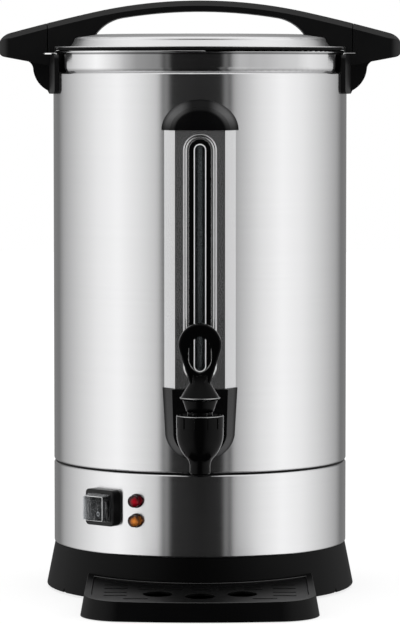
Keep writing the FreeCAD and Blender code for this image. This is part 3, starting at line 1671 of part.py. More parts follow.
def pump_tube():
    low = well_floor_z + slip + bell_h - 3
    tube = ring(pump_r - pump_wall, pump_r, low, pump_top_z)
    top = basket_low_z - slip
    foot = top - stop_h
    root = pump_r - 0.2
    stop = lathe([(root, foot - 2), (pump_r, foot - 2), (stop_r, foot), (stop_r, top), (root, top)])
    return tube.fuse(stop)


def pump_base():
    low = well_floor_z + slip
    w = bell_wall
    bell = lathe([
        (bell_r - w, low), (bell_r, low), (bell_r, low + 3), (pump_r + 3 + w, low + bell_h - 4),
        (pump_r + w, low + bell_h), (pump_r, low + bell_h), (pump_r, low + bell_h - 4),
        (bell_r - w, low + 3 - w / 2),
    ])
    holes = [turned(rod(2.0, V(bell_r - 4, 0, low + 1.4), V(bell_r + 2, 0, low + 1.4)), 60 * k)
             for k in range(6)]
    return bell.cut(holes)


def perforations(z_low, z_high):
    holes = []
    for ring_index in range(4):
        r = 16.0 + 10.5 * ring_index
        count = 10 + 6 * ring_index
        for k in range(count):
            x, y = polar(r, 360 * k / count)
            holes.append(disc(perf_r, z_low - 1, z_high + 1, x, y))
    return holes


def coffee_basket():
    w = basket_wall
    sleeve = pump_r + slip
    top = basket_top_z
    low = basket_low_z
    cup = lathe([
        (sleeve, low), (basket_r - 4, low), corner(basket_r - 4, low + 4, 4, -90, 0),
        (basket_r, top - w), (basket_r + basket_rim, top - w), (basket_r + basket_rim, top),
        (basket_r - w, top), (basket_r - w, low + 4), corner(basket_r - 4, low + 4, 4 - w, 0, -90),
        (sleeve + w, low + w), (sleeve + w, top - 8), (sleeve, top - 8),
    ])
    return cup.cut(perforations(low, low + w))


def basket_cover():
    w = basket_wall
    low = basket_top_z + slip
    hole_r = pump_r + slip
    cover = lathe([
        (hole_r, low + cover_h - 3), (basket_r - 6, low + cover_h - 3), (basket_r - 3, low),
        (basket_r + cover_rim, low), (basket_r + cover_rim, low + w), (basket_r - 2.6, low + w),
        (basket_r - 5.6, low + cover_h - 3 + w), (hole_r + w, low + cover_h - 3 + w),
        (hole_r + w, low + cover_h), (hole_r, low + cover_h),
    ])
    return cover.cut(perforations(low + cover_h - 3, low + cover_h - 3 + w))


def save(name, shape):
    shape.exportStep("parts/" + name + ".step")
    solids = shape.Solids
    volume = sum(solid.Volume for solid in solids)
    state = "ok" if shape.isValid() and volume > 0 else "CHECK"
    print(f"{name:22s} solids {len(solids):3d} volume {volume:12.1f} {state}")


os.makedirs("parts", exist_ok=True)
bar = handle_bar()
right_handle = side_handle(bar, lip_right)
left_handle = side_handle(bar, lip_left).mirror(V(0, 0, 0), V(1, 0, 0))
pieces = {
    "base_skirt": base_skirt(),
    "bottom_plate": bottom_plate(),
    "rubber_feet": rubber_feet(),
    "base_screws": base_screws(),
    "tie_rods": tie_rods(),
    "tie_nuts": tie_nuts(),
    "lower_housing": lower_housing(),
    "seam_ring": seam_ring(),
    "outer_shell": outer_shell(),
    "inner_tank": inner_tank(),
    "heat_plate": heat_plate(),
    "heating_element": heating_element(),
    "control_thermostat": control_thermostat(),
    "thermostat_strap": thermostat_strap(),
    "boil_dry_cutout": boil_dry_cutout(),
    "thermal_fuse": thermal_fuse(),
    "terminal_block": terminal_block(),
    "wiring": wiring(),
    "cord_gland": cord_gland(),
    "lid_plate": lid_plate(),
    "lid_gasket": lid_gasket(),
    "lid_handle": lid_handle(bar),
    "lid_handle_screws": lid_handle_screws(),
    "side_handle_left": left_handle,
    "side_handle_right": right_handle,
    "side_handle_screws": side_handle_screws(),
    "gauge_panel": gauge_panel(),
    "gauge_inset": gauge_inset(),
    "gauge_window": gauge_window(),
    "sight_glass": sight_glass(),
    "sight_seals": sight_seals(),
    "gauge_base": gauge_base(),
    "gauge_hood": gauge_hood(),
    "tap_escutcheon": tap_escutcheon(),
    "tap_body": tap_body(),
    "tap_bonnet": tap_bonnet(),
    "lever_socket": lever_socket(),
    "tap_pin": tap_pin(),
    "tap_lever": tap_lever(),
    "tap_stem": tap_stem(),
    "seat_cup": seat_cup(),
    "tap_spring": tap_spring(),
    "tap_washers": tap_washers(),
    "tap_nut": tap_nut(),
    "lamp_red": lamp(lamp_red_z),
    "lamp_amber": lamp(lamp_amber_z),
    "lamp_clips": lamp_clips(),
    "switch_frame": switch_frame(),
    "switch_rocker": switch_rocker(),
    "switch_cap": switch_cap(),
    "drip_tray": drip_tray(),
    "drip_grid": drip_grid(),
    "pump_tube": pump_tube(),
    "pump_base": pump_base(),
    "coffee_basket": coffee_basket(),
    "basket_cover": basket_cover(),
}
for name, shape in pieces.items():
    save(name, shape)
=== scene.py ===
import math

import bmesh
import bpy
from mathutils import Matrix, Vector


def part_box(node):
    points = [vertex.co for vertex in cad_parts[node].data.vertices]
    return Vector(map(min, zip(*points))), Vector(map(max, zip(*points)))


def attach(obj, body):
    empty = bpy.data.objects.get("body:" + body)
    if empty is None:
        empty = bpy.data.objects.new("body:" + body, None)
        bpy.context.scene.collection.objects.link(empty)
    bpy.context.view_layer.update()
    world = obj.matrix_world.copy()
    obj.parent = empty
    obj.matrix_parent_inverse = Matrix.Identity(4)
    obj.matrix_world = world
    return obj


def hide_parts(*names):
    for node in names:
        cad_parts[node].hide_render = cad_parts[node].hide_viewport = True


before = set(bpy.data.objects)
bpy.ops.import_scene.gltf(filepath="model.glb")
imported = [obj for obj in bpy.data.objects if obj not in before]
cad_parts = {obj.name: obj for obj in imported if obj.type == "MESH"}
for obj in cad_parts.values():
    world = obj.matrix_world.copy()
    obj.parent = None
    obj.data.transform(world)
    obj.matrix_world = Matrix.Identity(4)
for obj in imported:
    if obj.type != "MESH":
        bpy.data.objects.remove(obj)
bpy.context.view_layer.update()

mm = 0.001


# Base skirt and the black ring in the seam
# The tapered foot of the urn and the ring between its two casings are moulded from black
# polypropylene with a fine satin grain. The casings sit on their raised rings.

class Shade:
    """A socket of a material. A sum written on it adds the Math nodes for it."""

    def __init__(self, tree, socket):
        self.tree = tree
        self.socket = socket

    def node(self, kind, settings, sockets, out=0):
        """Adds any node: its settings are set first, then the values or links of its sockets."""
        made = self.tree.nodes.new("ShaderNode" + kind)
        for name, value in settings.items():
            if name == "stops":
                ramp = made.color_ramp.elements
                while len(ramp) < len(value):
                    ramp.new(1.0)
                for element, (place, level) in zip(ramp, value):
                    element.position = place
                    element.color = (*level, 1) if isinstance(level, tuple) else (level,) * 3 + (1,)
            else:
                setattr(made, name, value)
        for name, value in sockets.items():
            if isinstance(value, Shade):
                self.tree.links.new(value.socket, made.inputs[name])
            else:
                made.inputs[name].default_value = value
        return Shade(self.tree, made.outputs[out])

    def math(self, operation, *values):
        return self.node("Math", {"operation": operation}, dict(enumerate(values)))

    def __add__(self, other):
        return self.math("ADD", self, other)

    def __sub__(self, other):
        return self.math("SUBTRACT", self, other)

    def __rsub__(self, other):
        return self.math("SUBTRACT", other, self)

    def __mul__(self, other):
        return self.math("MULTIPLY", self, other)

    def __truediv__(self, other):
        return self.math("DIVIDE", self, other)

    def scaled(self, factor):
        """A colour or vector times a number."""
        return self.node("VectorMath", {"operation": "SCALE"}, {0: self, "Scale": factor})

    def split(self):
        """The three parts of a vector."""
        made = self.tree.nodes.new("ShaderNodeSeparateXYZ")
        self.tree.links.new(self.socket, made.inputs[0])
        return [Shade(self.tree, part) for part in made.outputs]

    def feed(self, node, socket):
        self.tree.links.new(self.socket, node.inputs[socket])


def new_finish(name, color, roughness, **same_all_over):
    """A material, its shader and its Object coordinates."""
    made = bpy.data.materials.new(name)
    made.use_nodes = True
    shader = made.node_tree.nodes["Principled BSDF"]
    shader.inputs["Base Color"].default_value = (*color, 1)
    shader.inputs["Roughness"].default_value = roughness
    for socket, value in same_all_over.items():
        shader.inputs[socket.replace("_", " ")].default_value = value
    place = Shade(made.node_tree, made.node_tree.nodes.new("ShaderNodeTexCoord").outputs["Object"])
    return made, shader, place


def moulded(name, color, roughness, gloss, grain, depth):
    """Moulded plastic: a fine grain, and a sheen and a tint that drift a little over the surface."""
    made, shader, place = new_finish(name, color, roughness, Specular_IOR_Level=gloss)
    drift = place.node("TexNoise", {}, {"Vector": place, "Scale": 26.0, "Detail": 3.0})
    tint = place.node("Mix", {"data_type": "RGBA"}, {
        0: drift, 6: (*[c * 0.82 for c in color], 1), 7: (*[c * 1.18 for c in color], 1)}, out=2)
    tint.feed(shader, "Base Color")
    (drift * 0.12 + (roughness - 0.06)).feed(shader, "Roughness")
    fine = place.node("TexNoise", {}, {"Vector": place, "Scale": 1 / grain, "Detail": 2.0})
    place.node("Bump", {}, {"Height": fine, "Strength": 0.5, "Distance": depth}).feed(shader, "Normal")
    return made


def dress(finish, *nodes):
    """Gives CAD nodes their finish."""
    for name in nodes:
        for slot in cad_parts[name].material_slots:
            slot.material = finish


base_plastic = moulded("base plastic", (0.001, 0.001, 0.0011), 0.4, 0.07, 0.0006, 0.00003)
dress(base_plastic, "base_skirt", "seam_ring", "cord_gland")


# Bottom plate, feet and clamping rods
# A zinc-plated steel disc closes the base, held by four screws. Four rubber feet are pushed into
# it, and three studs with nuts clamp the tank, both casings and the skirt together.

def plated(name, color, roughness):
    """Zinc plating: a metal with cloudy patches of sheen."""
    made, shader, place = new_finish(name, color, roughness, Metallic=1.0)
    cloud = place.node("TexVoronoi", {"feature": "SMOOTH_F1"}, {"Vector": place, "Scale": 240.0})
    (cloud * 0.2 + (roughness - 0.08)).feed(shader, "Roughness")
    tint = place.node("Mix", {"data_type": "RGBA"}, {
        0: cloud, 6: (*color, 1), 7: (*[c * 0.86 for c in color], 1)}, out=2)
    tint.feed(shader, "Base Color")
    return made


def rubbery(name, color):
    """Soft rubber: dull, with a dusty speckle."""
    made, shader, place = new_finish(name, color, 0.72, Specular_IOR_Level=0.12)
    speck = place.node("TexNoise", {}, {"Vector": place, "Scale": 1500.0, "Detail": 3.0})
    (speck * 0.2 + 0.6).feed(shader, "Roughness")
    place.node("Bump", {}, {"Height": speck, "Strength": 0.4, "Distance": 0.00005}).feed(shader, "Normal")
    return made


zinc = plated("zinc plating", (0.56, 0.57, 0.6), 0.38)
black_rubber = rubbery("black rubber", (0.004, 0.004, 0.004))
dress(zinc, "bottom_plate", "base_screws", "tie_rods", "tie_nuts")
dress(black_rubber, "rubber_feet")


# Casings
# Two tubes rolled from stainless steel sheet, with edges turned inwards and butted on the black
# ring. They are brushed round the urn, so light smears up and down and streaks run level.

def brushed(name, color, roughness, streak, anisotropy, turn=0.25, stretch=(14.0, 14.0, 1900.0),
            drift=0.14):
    """Brushed steel: streaks in sheen and tint along the brushing, and highlights smeared across it."""
    made, shader, place = new_finish(name, color, roughness, Metallic=1.0, Anisotropic=anisotropy,
                                     Anisotropic_Rotation=turn)
    fine = place.node("Mapping", {}, {"Vector": place, "Scale": stretch})
    hair = place.node("TexNoise", {}, {"Vector": fine, "Scale": 1.0, "Detail": 5.0, "Roughness": 0.65})
    wide = place.node("Mapping", {}, {"Vector": place, "Scale": tuple(s * 0.16 for s in stretch)})
    band = place.node("TexNoise", {}, {"Vector": wide, "Scale": 1.0, "Detail": 3.0, "Roughness": 0.6})
    mark = hair * 0.65 + band * 0.35
    tint = place.node("Mix", {"data_type": "RGBA"}, {
        0: mark, 6: (*[c * (1 - streak) for c in color], 1),
        7: (*[c * (1 + streak) for c in color], 1)}, out=2)
    tint.feed(shader, "Base Color")
    (mark * drift + (roughness - drift / 2)).feed(shader, "Roughness")
    place.node("Bump", {}, {"Height": mark, "Strength": 0.25, "Distance": 0.000004}).feed(shader, "Normal")
    return made, shader, place, tint


casing_steel, *_ = brushed("casing steel", (0.62, 0.62, 0.625), 0.17, 0.05, 0.9)
dress(casing_steel, "lower_housing", "outer_shell")


def add_piece(name, work, finish, body, nodes, smooth=38.0):
    """An object of a mesh, smooth up to an angle, that rides on a body in place of CAD nodes."""
    mesh = bpy.data.meshes.new(name)
    work.to_mesh(mesh)
    work.free()
    mesh.materials.append(finish)
    mesh.shade_smooth()
    mesh.set_sharp_from_angle(angle=math.radians(smooth))
    piece = bpy.data.objects.new(name, mesh)
    bpy.context.scene.collection.objects.link(piece)
    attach(piece, body)
    if nodes:
        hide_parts(*nodes)
    return piece


casing_radius = 110 * mm
edge_bend = 1.6 * mm        # radius of the turned-in edges, on the outside
lip_proud = 0.015 * mm      # lifts a lip over the flat facets of the edge below it
lip_sheet = 0.2 * mm
lip_steps = 240
weld = 0.001 * mm           # points closer than this are joined


def rolled_lip(name, node, top):
    """The quarter bend of a casing's edge, spun in one smooth ring over the CAD facets."""
    low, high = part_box(node)
    centre = high[2] - edge_bend if top else low[2] + edge_bend
    near = 1e-7
    work = bmesh.new()
    made = bmesh.ops.create_circle(work, radius=edge_bend + lip_proud, segments=64)
    upright = Matrix.Rotation(math.pi / 2, 3, "X")
    bmesh.ops.rotate(work, verts=made["verts"], cent=(0, 0, 0), matrix=upright)
    hidden = [vert for vert in work.verts
              if vert.co.x < -near or (vert.co.z > 0) != top and abs(vert.co.z) > near]
    bmesh.ops.delete(work, geom=hidden, context="VERTS")
    bmesh.ops.translate(work, verts=work.verts, vec=(casing_radius - edge_bend, 0, centre))
    bmesh.ops.spin(work, geom=work.edges[:] + work.verts[:], cent=(0, 0, 0), axis=(0, 0, 1),
                   angle=math.tau, steps=lip_steps, use_merge=True)
    bmesh.ops.remove_doubles(work, verts=work.verts, dist=weld)
    bmesh.ops.recalc_face_normals(work, faces=work.faces)
    bmesh.ops.solidify(work, geom=work.faces[:], thickness=lip_sheet)
    bmesh.ops.recalc_face_normals(work, faces=work.faces)
    return add_piece(name, work, casing_steel, "urn", [], smooth=50.0)


rolled_lip("shell_top_lip", "outer_shell", True)
rolled_lip("shell_low_lip", "outer_shell", False)
rolled_lip("housing_top_lip", "lower_housing", True)
rolled_lip("housing_low_lip", "lower_housing", False)


# Tank
# One deep-drawn stainless tank whose polished neck and rolled rim stand above the casing. An
# aluminium plate spreads the heat of the ring element below it.

tank_steel, tank_shader, tank_place, tank_tint = brushed("tank steel", (0.66, 0.66, 0.665), 0.14, 0.03, 0.9)
# Painted shade: the neck's colour is darkened at its foot and in a line in the crease under its rolled rim.
neck_foot = (387.2 * mm, 390.4 * mm)      # the shade at its foot fades out between them
rim_crease = 400.7 * mm                   # a dark line under the rolled rim
outer_skin = (106.9 * mm, 107.2 * mm)     # inside these radii the steel keeps its own colour
painted_band_peak = 1.5
painted_neck_bands = (
    # The neck's bands are painted reflections, set by turn to match the photo:
    # the turn from the front in degrees, left negative, and how bright the painted reflection makes the neck
    # there
    (-60, 1.2), (-45, 1.15), (-38, 0.84), (-31, 0.52), (-25, 0.36), (-18, 0.38), (-8, 0.6),
    (8, 0.6), (15, 0.95), (20, 0.66), (26, 0.56), (33, 0.58), (41, 0.7), (48, 1.0), (60, 1.2),
)
neck_x, neck_y, neck_z = tank_place.split()
turned_to = tank_place.math("ARCTAN2", neck_x, neck_y * -1.0) / (2 * math.pi) + 0.5
painted_band_stops = [(angle / 360 + 0.5, value / painted_band_peak) for angle, value in painted_neck_bands]
painted_neck_light = tank_place.node("ValToRGB", {"stops": painted_band_stops}, {"Fac": turned_to}) * painted_band_peak
painted_foot_shade = tank_place.node("MapRange", {"interpolation_type": "SMOOTHSTEP"}, {
    "Value": neck_z, "From Min": neck_foot[0], "From Max": neck_foot[1], "To Min": 0.7, "To Max": 0.0})
painted_crease_shade = tank_place.node("MapRange", {"interpolation_type": "SMOOTHSTEP"}, {
    "Value": tank_place.math("ABSOLUTE", neck_z - rim_crease), "From Min": 0.4 * mm, "From Max": 0.9 * mm,
    "To Min": 0.6, "To Max": 0.0})
from_middle = tank_place.math("SQRT", neck_x * neck_x + neck_y * neck_y)
outer_side = tank_place.node("MapRange", {}, {
    "Value": from_middle, "From Min": outer_skin[0], "From Max": outer_skin[1]})
shade = (1 - painted_foot_shade) * (1 - painted_crease_shade)
painted_neck_light = (painted_neck_light * shade - 1) * outer_side + 1
tank_tint.scaled(painted_neck_light).feed(tank_shader, "Base Color")
dress(tank_steel, "inner_tank")

spun_aluminium, *_ = brushed("spun aluminium", (0.74, 0.74, 0.75), 0.34, 0.08, 0.5)
dress(spun_aluminium, "heat_plate", "pump_tube", "pump_base", "coffee_basket", "basket_cover")


# Heater, controls and wiring
# The sheathed ring element, the thermostat on its strap, the boil-dry cut-out and the thermal
# fuse sit under the tank, and sleeved wires join them to a white terminal block.

heat_tint = plated("heat-tinted sheath", (0.36, 0.31, 0.27), 0.5)
fuse_brass = plated("fuse brass", (0.72, 0.55, 0.27), 0.32)
control_plastic = moulded("control plastic", (0.05, 0.042, 0.035), 0.5, 0.4, 0.0008, 0.00003)
white_plastic = moulded("white plastic", (0.72, 0.71, 0.67), 0.45, 0.4, 0.0008, 0.00002)
wire_sleeve = rubbery("wire sleeve", (0.42, 0.07, 0.03))
dress(heat_tint, "heating_element")
dress(fuse_brass, "thermal_fuse")
dress(zinc, "thermostat_strap")
dress(control_plastic, "control_thermostat", "boil_dry_cutout")
dress(white_plastic, "terminal_block")
dress(wire_sleeve, "wiring")


# Side handles
# Each is one black moulding: a bevelled grip, a thin web under it and a curved plate that two
# screws hold to the casing from inside. The grain is satin and the moulded edges are soft.

def merged(node):
    """A copy of a CAD node's mesh with its corners joined and its flat faces made whole."""
    work = bmesh.new()
    work.from_mesh(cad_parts[node].data)
    bmesh.ops.remove_doubles(work, verts=work.verts, dist=weld)
    flat_within = math.radians(0.4)
    bmesh.ops.dissolve_limit(work, angle_limit=flat_within, verts=work.verts, edges=work.edges)
    return work


def soften(piece, width, segments=2, shine=None):
    """Rounds a piece's edges and keeps its flat faces flat. The rounding can have a finish of its own, a
    painted highlight.
    """
    sharp_from = 32.0
    bevel = piece.modifiers.new("soft edges", "BEVEL")
    if shine:
        piece.data.materials.append(shine)
        bevel.material = 1
    bevel.width = width
    bevel.segments = segments
    bevel.limit_method = "ANGLE"
    bevel.angle_limit = math.radians(sharp_from)
    bevel.use_clamp_overlap = True
    weighted = piece.modifiers.new("flat faces", "WEIGHTED_NORMAL")
    weighted.keep_sharp = True
    return piece


def edged(name, node, finish, body, slot, width, **kind):
    """A CAD node remade with softened edges."""
    return soften(add_piece(name, merged(node), finish, body, [node]), width, **kind)


handle_plastic = moulded("handle plastic", (0.004, 0.004, 0.0042), 0.34, 0.22, 0.0007, 0.00004)
edged("side_handle_left_moulding", "side_handle_left", handle_plastic, "urn", "handle_plastic", 0.5 * mm)
edged("side_handle_right_moulding", "side_handle_right", handle_plastic, "urn", "handle_plastic", 0.5 * mm)
dress(zinc, "side_handle_screws")


# Lid
# A pressed lid of polished stainless steel on a black rubber gasket. Its arched handle is one
# black moulding that runs on into the side handles, held by four screws from below.

lid_steel, *_ = brushed("lid steel", (0.66, 0.66, 0.665), 0.36, 0.03, 0.0)
dress(lid_steel, "lid_plate")
dress(black_rubber, "lid_gasket")
edged("lid_arch", "lid_handle", handle_plastic, "lid", "handle_plastic", 0.5 * mm)
dress(zinc, "lid_handle_screws")


# Level gauge
# A channel folded from brushed steel stands on the casing. A black inset fills its slot, and
# behind a clear window a glass tube shows the level. A black hood closes the channel's top.

# Painted highlight: a milky strip down the middle of the sight glass, with the ticks of a scale on it.
core_edge, core_fade = 1.6 * mm, 2.0 * mm     # half width of the column, and where it has faded
tick_scale = 174.0


def clear(name, tint, roughness, share, milk=0.03, streak=0.0, painted_strip_level=0.0):
    """Clear glass or plastic: it mirrors more light at a slant. Flow lines scatter some light, and so does
    a painted highlight strip down the middle, marked with the ticks of a scale."""
    made = bpy.data.materials.new(name)
    made.use_nodes = True
    tree = made.node_tree
    tree.nodes.remove(tree.nodes["Principled BSDF"])
    start = Shade(tree, None)
    place = start.node("TexCoord", {}, {}, out="Object")
    cloud = place.node("TexNoise", {}, {"Vector": place, "Scale": 60.0, "Detail": 3.0})
    see = start.node("BsdfTransparent", {}, {"Color": (*tint, 1)})
    shine = start.node("BsdfPrincipled", {}, {"Base Color": (*[c * milk for c in tint], 1),
                                              "Roughness": cloud * 0.06 + roughness, "IOR": 1.5})
    facing = start.node("LayerWeight", {}, {"Blend": 0.5}, out="Facing")
    slant = facing * facing * facing
    upright = start.node("Mapping", {}, {"Vector": place, "Scale": (1000.0, 1000.0, 120.0)})
    lines = start.node("TexNoise", {}, {"Vector": upright, "Scale": 1.0, "Detail": 2.0})
    flow = start.node("MapRange", {}, {"Value": lines, "From Min": 0.52, "From Max": 0.7})
    from_axis = start.math("ABSOLUTE", place.split()[0])
    ticks = place.node("TexWave", {"bands_direction": "Z"}, {"Vector": place, "Scale": tick_scale}, out="Fac")
    painted_strip = start.node("MapRange", {}, {"Value": from_axis, "From Min": core_edge, "From Max": core_fade,
                                         "To Min": painted_strip_level, "To Max": 0.0}) * (cloud * 0.5 + ticks * 0.3 + 0.5)
    mixed = start.node("MixShader", {}, {0: slant * 0.8 + share + flow * streak + painted_strip, 1: see, 2: shine})
    mixed.feed(tree.nodes["Material Output"], "Surface")
    return made


panel_steel, *_ = brushed("panel steel", (0.72, 0.72, 0.725), 0.26, 0.015, 0.6, turn=0.0,
                         stretch=(1900.0, 60.0, 14.0), drift=0.03)
edged("gauge_channel", "gauge_panel", panel_steel, "urn", "panel_steel", 0.55 * mm, segments=4)
inset_plastic = moulded("inset plastic", (0.0015, 0.0015, 0.0016), 0.25, 0.12, 0.0009, 0.00001)
dress(inset_plastic, "gauge_inset", "gauge_base")
window_clear = clear("window clear", (0.9, 0.92, 0.93), 0.06, 0.02)
dress(window_clear, "gauge_window")
tube_clear = clear("tube glass", (0.92, 0.93, 0.93), 0.05, 0.03, milk=0.3, painted_strip_level=0.24)
dress(tube_clear, "sight_glass")


def closed_loop(work, half, low, high, width, front, height):
    """A flat band with round ends, made solid: the outline of a slot that stands on a face."""
    depth = width / 2
    sides = 64
    made = bmesh.ops.create_circle(work, cap_ends=True, radius=half, segments=sides)
    upright = Matrix.Rotation(math.pi / 2, 3, "X") @ Matrix.Rotation(math.pi / sides, 3, "Z")
    bmesh.ops.rotate(work, verts=made["verts"], cent=(0, 0, 0), matrix=upright)
    for vert in made["verts"]:
        vert.co.z += high - half if vert.co.z > 0 else low + half
        vert.co.y = front + depth
    middle = list(work.faces)
    work.normal_update()
    band = bmesh.ops.inset_region(work, faces=middle, thickness=width, use_boundary=True,
                                  use_even_offset=True)["faces"]
    bmesh.ops.delete(work, geom=middle, context="FACES")
    grown = bmesh.ops.extrude_face_region(work, geom=band, use_keep_orig=True)["geom"]
    bmesh.ops.translate(work, verts=[part for part in grown if isinstance(part, bmesh.types.BMVert)],
                        vec=(0, -depth, 0))
    bmesh.ops.recalc_face_normals(work, faces=work.faces)
    corners = [edge for edge in work.edges
               if edge.calc_face_angle(0) > 1 and max(end.co.y for end in edge.verts) < front + depth / 2]
    bmesh.ops.bevel(work, geom=corners, offset=width * 0.46, segments=4, affect="EDGES",
                    profile=0.5, material=-1)
    for vert in work.verts:
        vert.co.y = front + (vert.co.y - front) * height / depth


# The pressed bead is a round ridge, so each of its flanks takes the light of one side
bead_steel, *_ = brushed("bead steel", (0.8, 0.8, 0.805), 0.14, 0.0, 0.0)
bead_half = 12.0 * mm
bead_low = 164.0 * mm
bead_high = 343.0 * mm
bead_width = 2.4 * mm
bead_front = -122.3 * mm
bead_height = 0.85 * mm
bead = bmesh.new()
closed_loop(bead, bead_half, bead_low, bead_high, bead_width, bead_front, bead_height)
add_piece("gauge_bead", bead, bead_steel, "urn", [])

# The window's polished rim stands a little proud of its face; its near-white colour is a painted highlight
# all round
rim_low, rim_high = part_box("gauge_window")
rim_highlight_white = moulded("window rim highlight", (0.8, 0.8, 0.8), 0.3, 0.5, 0.0009, 0.00001)
rim_half = 4.5 * mm
rim_width = 0.85 * mm
rim_proud = 0.2 * mm
rim_height = 0.8 * mm
rim = bmesh.new()
closed_loop(rim, rim_half, rim_low[2], rim_high[2], rim_width, rim_low[1] - rim_proud, rim_height)
add_piece("window_rim", rim, rim_highlight_white, "urn", [])
silicone = rubbery("silicone", (0.45, 0.45, 0.45))
dress(silicone, "sight_seals")


def cover_finish(name, low, high, sheen):
    """Black plastic with a painted sheen: a coat placed on its slopes, which fades below, at the foot and in
    the middle.
    """
    crown, slope = 5 * mm, 15 * mm
    on_slope, at_foot = -115 * mm, -106.5 * mm
    made, shader, place = new_finish(name, (0.0025, 0.0025, 0.0027), 0.3, Specular_IOR_Level=0.0,
                                     Coat_Roughness=0.24)
    across, out, up = place.split()
    side = place.node("MapRange", {"interpolation_type": "SMOOTHSTEP"}, {
        "Value": across.math("ABSOLUTE", across), "From Min": crown, "From Max": slope,
        "To Min": sheen * 0.15, "To Max": sheen})
    foot = place.node("MapRange", {"interpolation_type": "SMOOTHSTEP"}, {
        "Value": out, "From Min": on_slope, "From Max": at_foot, "To Min": 1.0, "To Max": 0.25})
    rise = place.node("MapRange", {"interpolation_type": "SMOOTHSTEP"}, {
        "Value": up, "From Min": low, "From Max": high, "To Min": 0.15, "To Max": 1.0})
    (side * foot * rise).feed(shader, "Coat Weight")
    fine = place.node("TexNoise", {}, {"Vector": place, "Scale": 1400.0, "Detail": 2.0})
    (fine * 0.08 + 0.27).feed(shader, "Roughness")
    place.node("Bump", {}, {"Height": fine, "Strength": 0.4, "Distance": 0.00002}).feed(shader, "Normal")
    return made


hood_sheen = (344 * mm, 357 * mm)           # the sheen rises to full between these heights
escutcheon_sheen = (90 * mm, 100 * mm)
hood_finish = cover_finish("hood plastic", *hood_sheen, 1.0)
escutcheon_finish = cover_finish("escutcheon plastic", *escutcheon_sheen, 0.42)
edged("gauge_hood_moulding", "gauge_hood", hood_finish, "urn", "handle_plastic", 0.4 * mm)
edged("escutcheon_moulding", "tap_escutcheon", escutcheon_finish, "urn", "handle_plastic", 0.5 * mm)


# Tap
# A self-closing tap moulded from glossy black nylon: the body with its spout, a grooved bonnet,
# the socket of the lever and the ring lever. Pushing the lever lifts a stem off its seat.

tap_plastic = moulded("tap plastic", (0.0012, 0.0012, 0.0013), 0.2, 0.06, 0.0009, 0.00001)
# The light line along the tap's outline is a painted highlight: a glow set by the angle of view, not light of
# the studio
painted_line_glow = 0.3
tap_tree = tap_plastic.node_tree
tap_start = Shade(tap_tree, None)
painted_outline_glow = tap_start.node("MapRange", {"interpolation_type": "SMOOTHSTEP"}, {
    "Value": tap_start.node("LayerWeight", {}, {"Blend": 0.5}, out="Facing"),
    "From Min": 0.76, "From Max": 0.99, "To Min": 0.0, "To Max": painted_line_glow})
upward = tap_start.node("NewGeometry", {}, {}, out="Normal").split()[2]
painted_outline_glow = painted_outline_glow * (1 - upward * upward)
tap_start.node("CombineColor", {}, {0: painted_outline_glow, 1: painted_outline_glow, 2: painted_outline_glow}).feed(
    tap_tree.nodes["Principled BSDF"], "Emission Color")
tap_tree.nodes["Principled BSDF"].inputs["Emission Strength"].default_value = 1.0
# Painted highlight: the softened edges and rims of the tap get a grey metal finish on the black nylon.
tap_edge_highlight, *_ = brushed("tap edge highlight", (0.34, 0.34, 0.34), 0.3, 0.0, 0.0)
dress(tap_plastic, "tap_body", "tap_nut")
edged("ring_lever", "tap_lever", tap_plastic, "lever", "tap_plastic", 0.35 * mm, shine=tap_edge_highlight)
edged("tap_bonnet_moulding", "tap_bonnet", tap_plastic, "urn", "tap_plastic", 0.35 * mm, shine=tap_edge_highlight)
edged("lever_socket_moulding", "lever_socket", tap_plastic, "urn", "tap_plastic", 0.3 * mm, shine=tap_edge_highlight)


tap_axis = -150 * mm


def rolled_edge(name, radius, height, thick, body):
    """A thin moulded roll round a rim of the tap, turned by a full spin, in the painted-highlight finish of
    the tap's edges.
    """
    work = bmesh.new()
    made = bmesh.ops.create_circle(work, radius=thick, segments=12)
    stand = Matrix.Translation((radius, 0, height)) @ Matrix.Rotation(math.pi / 2, 4, "X")
    bmesh.ops.transform(work, matrix=stand, verts=made["verts"])
    bmesh.ops.spin(work, geom=work.edges[:], cent=(0, 0, 0), axis=(0, 0, 1), angle=math.tau, steps=96,
                   use_merge=True)
    bmesh.ops.remove_doubles(work, verts=work.verts, dist=weld)
    bmesh.ops.recalc_face_normals(work, faces=work.faces)
    bmesh.ops.translate(work, verts=work.verts, vec=(0, tap_axis, 0))
    return add_piece(name, work, tap_edge_highlight, body, [], smooth=60.0)


bonnet_rim_radius, bonnet_rim_height = 16.45 * mm, 142.55 * mm
lever_rim_radius, lever_rim_height = 14.0 * mm, 155.45 * mm
rolled_edge("bonnet_rim", bonnet_rim_radius, bonnet_rim_height, 0.42 * mm, "urn")
rolled_edge("lever_rim", lever_rim_radius, lever_rim_height, 0.4 * mm, "lever")
dress(zinc, "tap_pin", "tap_spring")
dress(white_plastic, "tap_stem")
dress(silicone, "seat_cup", "tap_washers")


# Indicator lamps
# Two translucent lenses, red above amber, pressed through the lower casing and held by spring
# clips. Facets behind the domed face scatter light, and a faint glow stands in for the lamp.

lamp_turn = math.radians(-24.8)
lamp_spots = {"lamp_red": 75.4 * mm, "lamp_amber": 61.0 * mm}
lens_radius = 5.2 * mm
lens_bright = 1.5 * mm      # how far the bright middle sits from the lens's own
lens_glow = 0.3


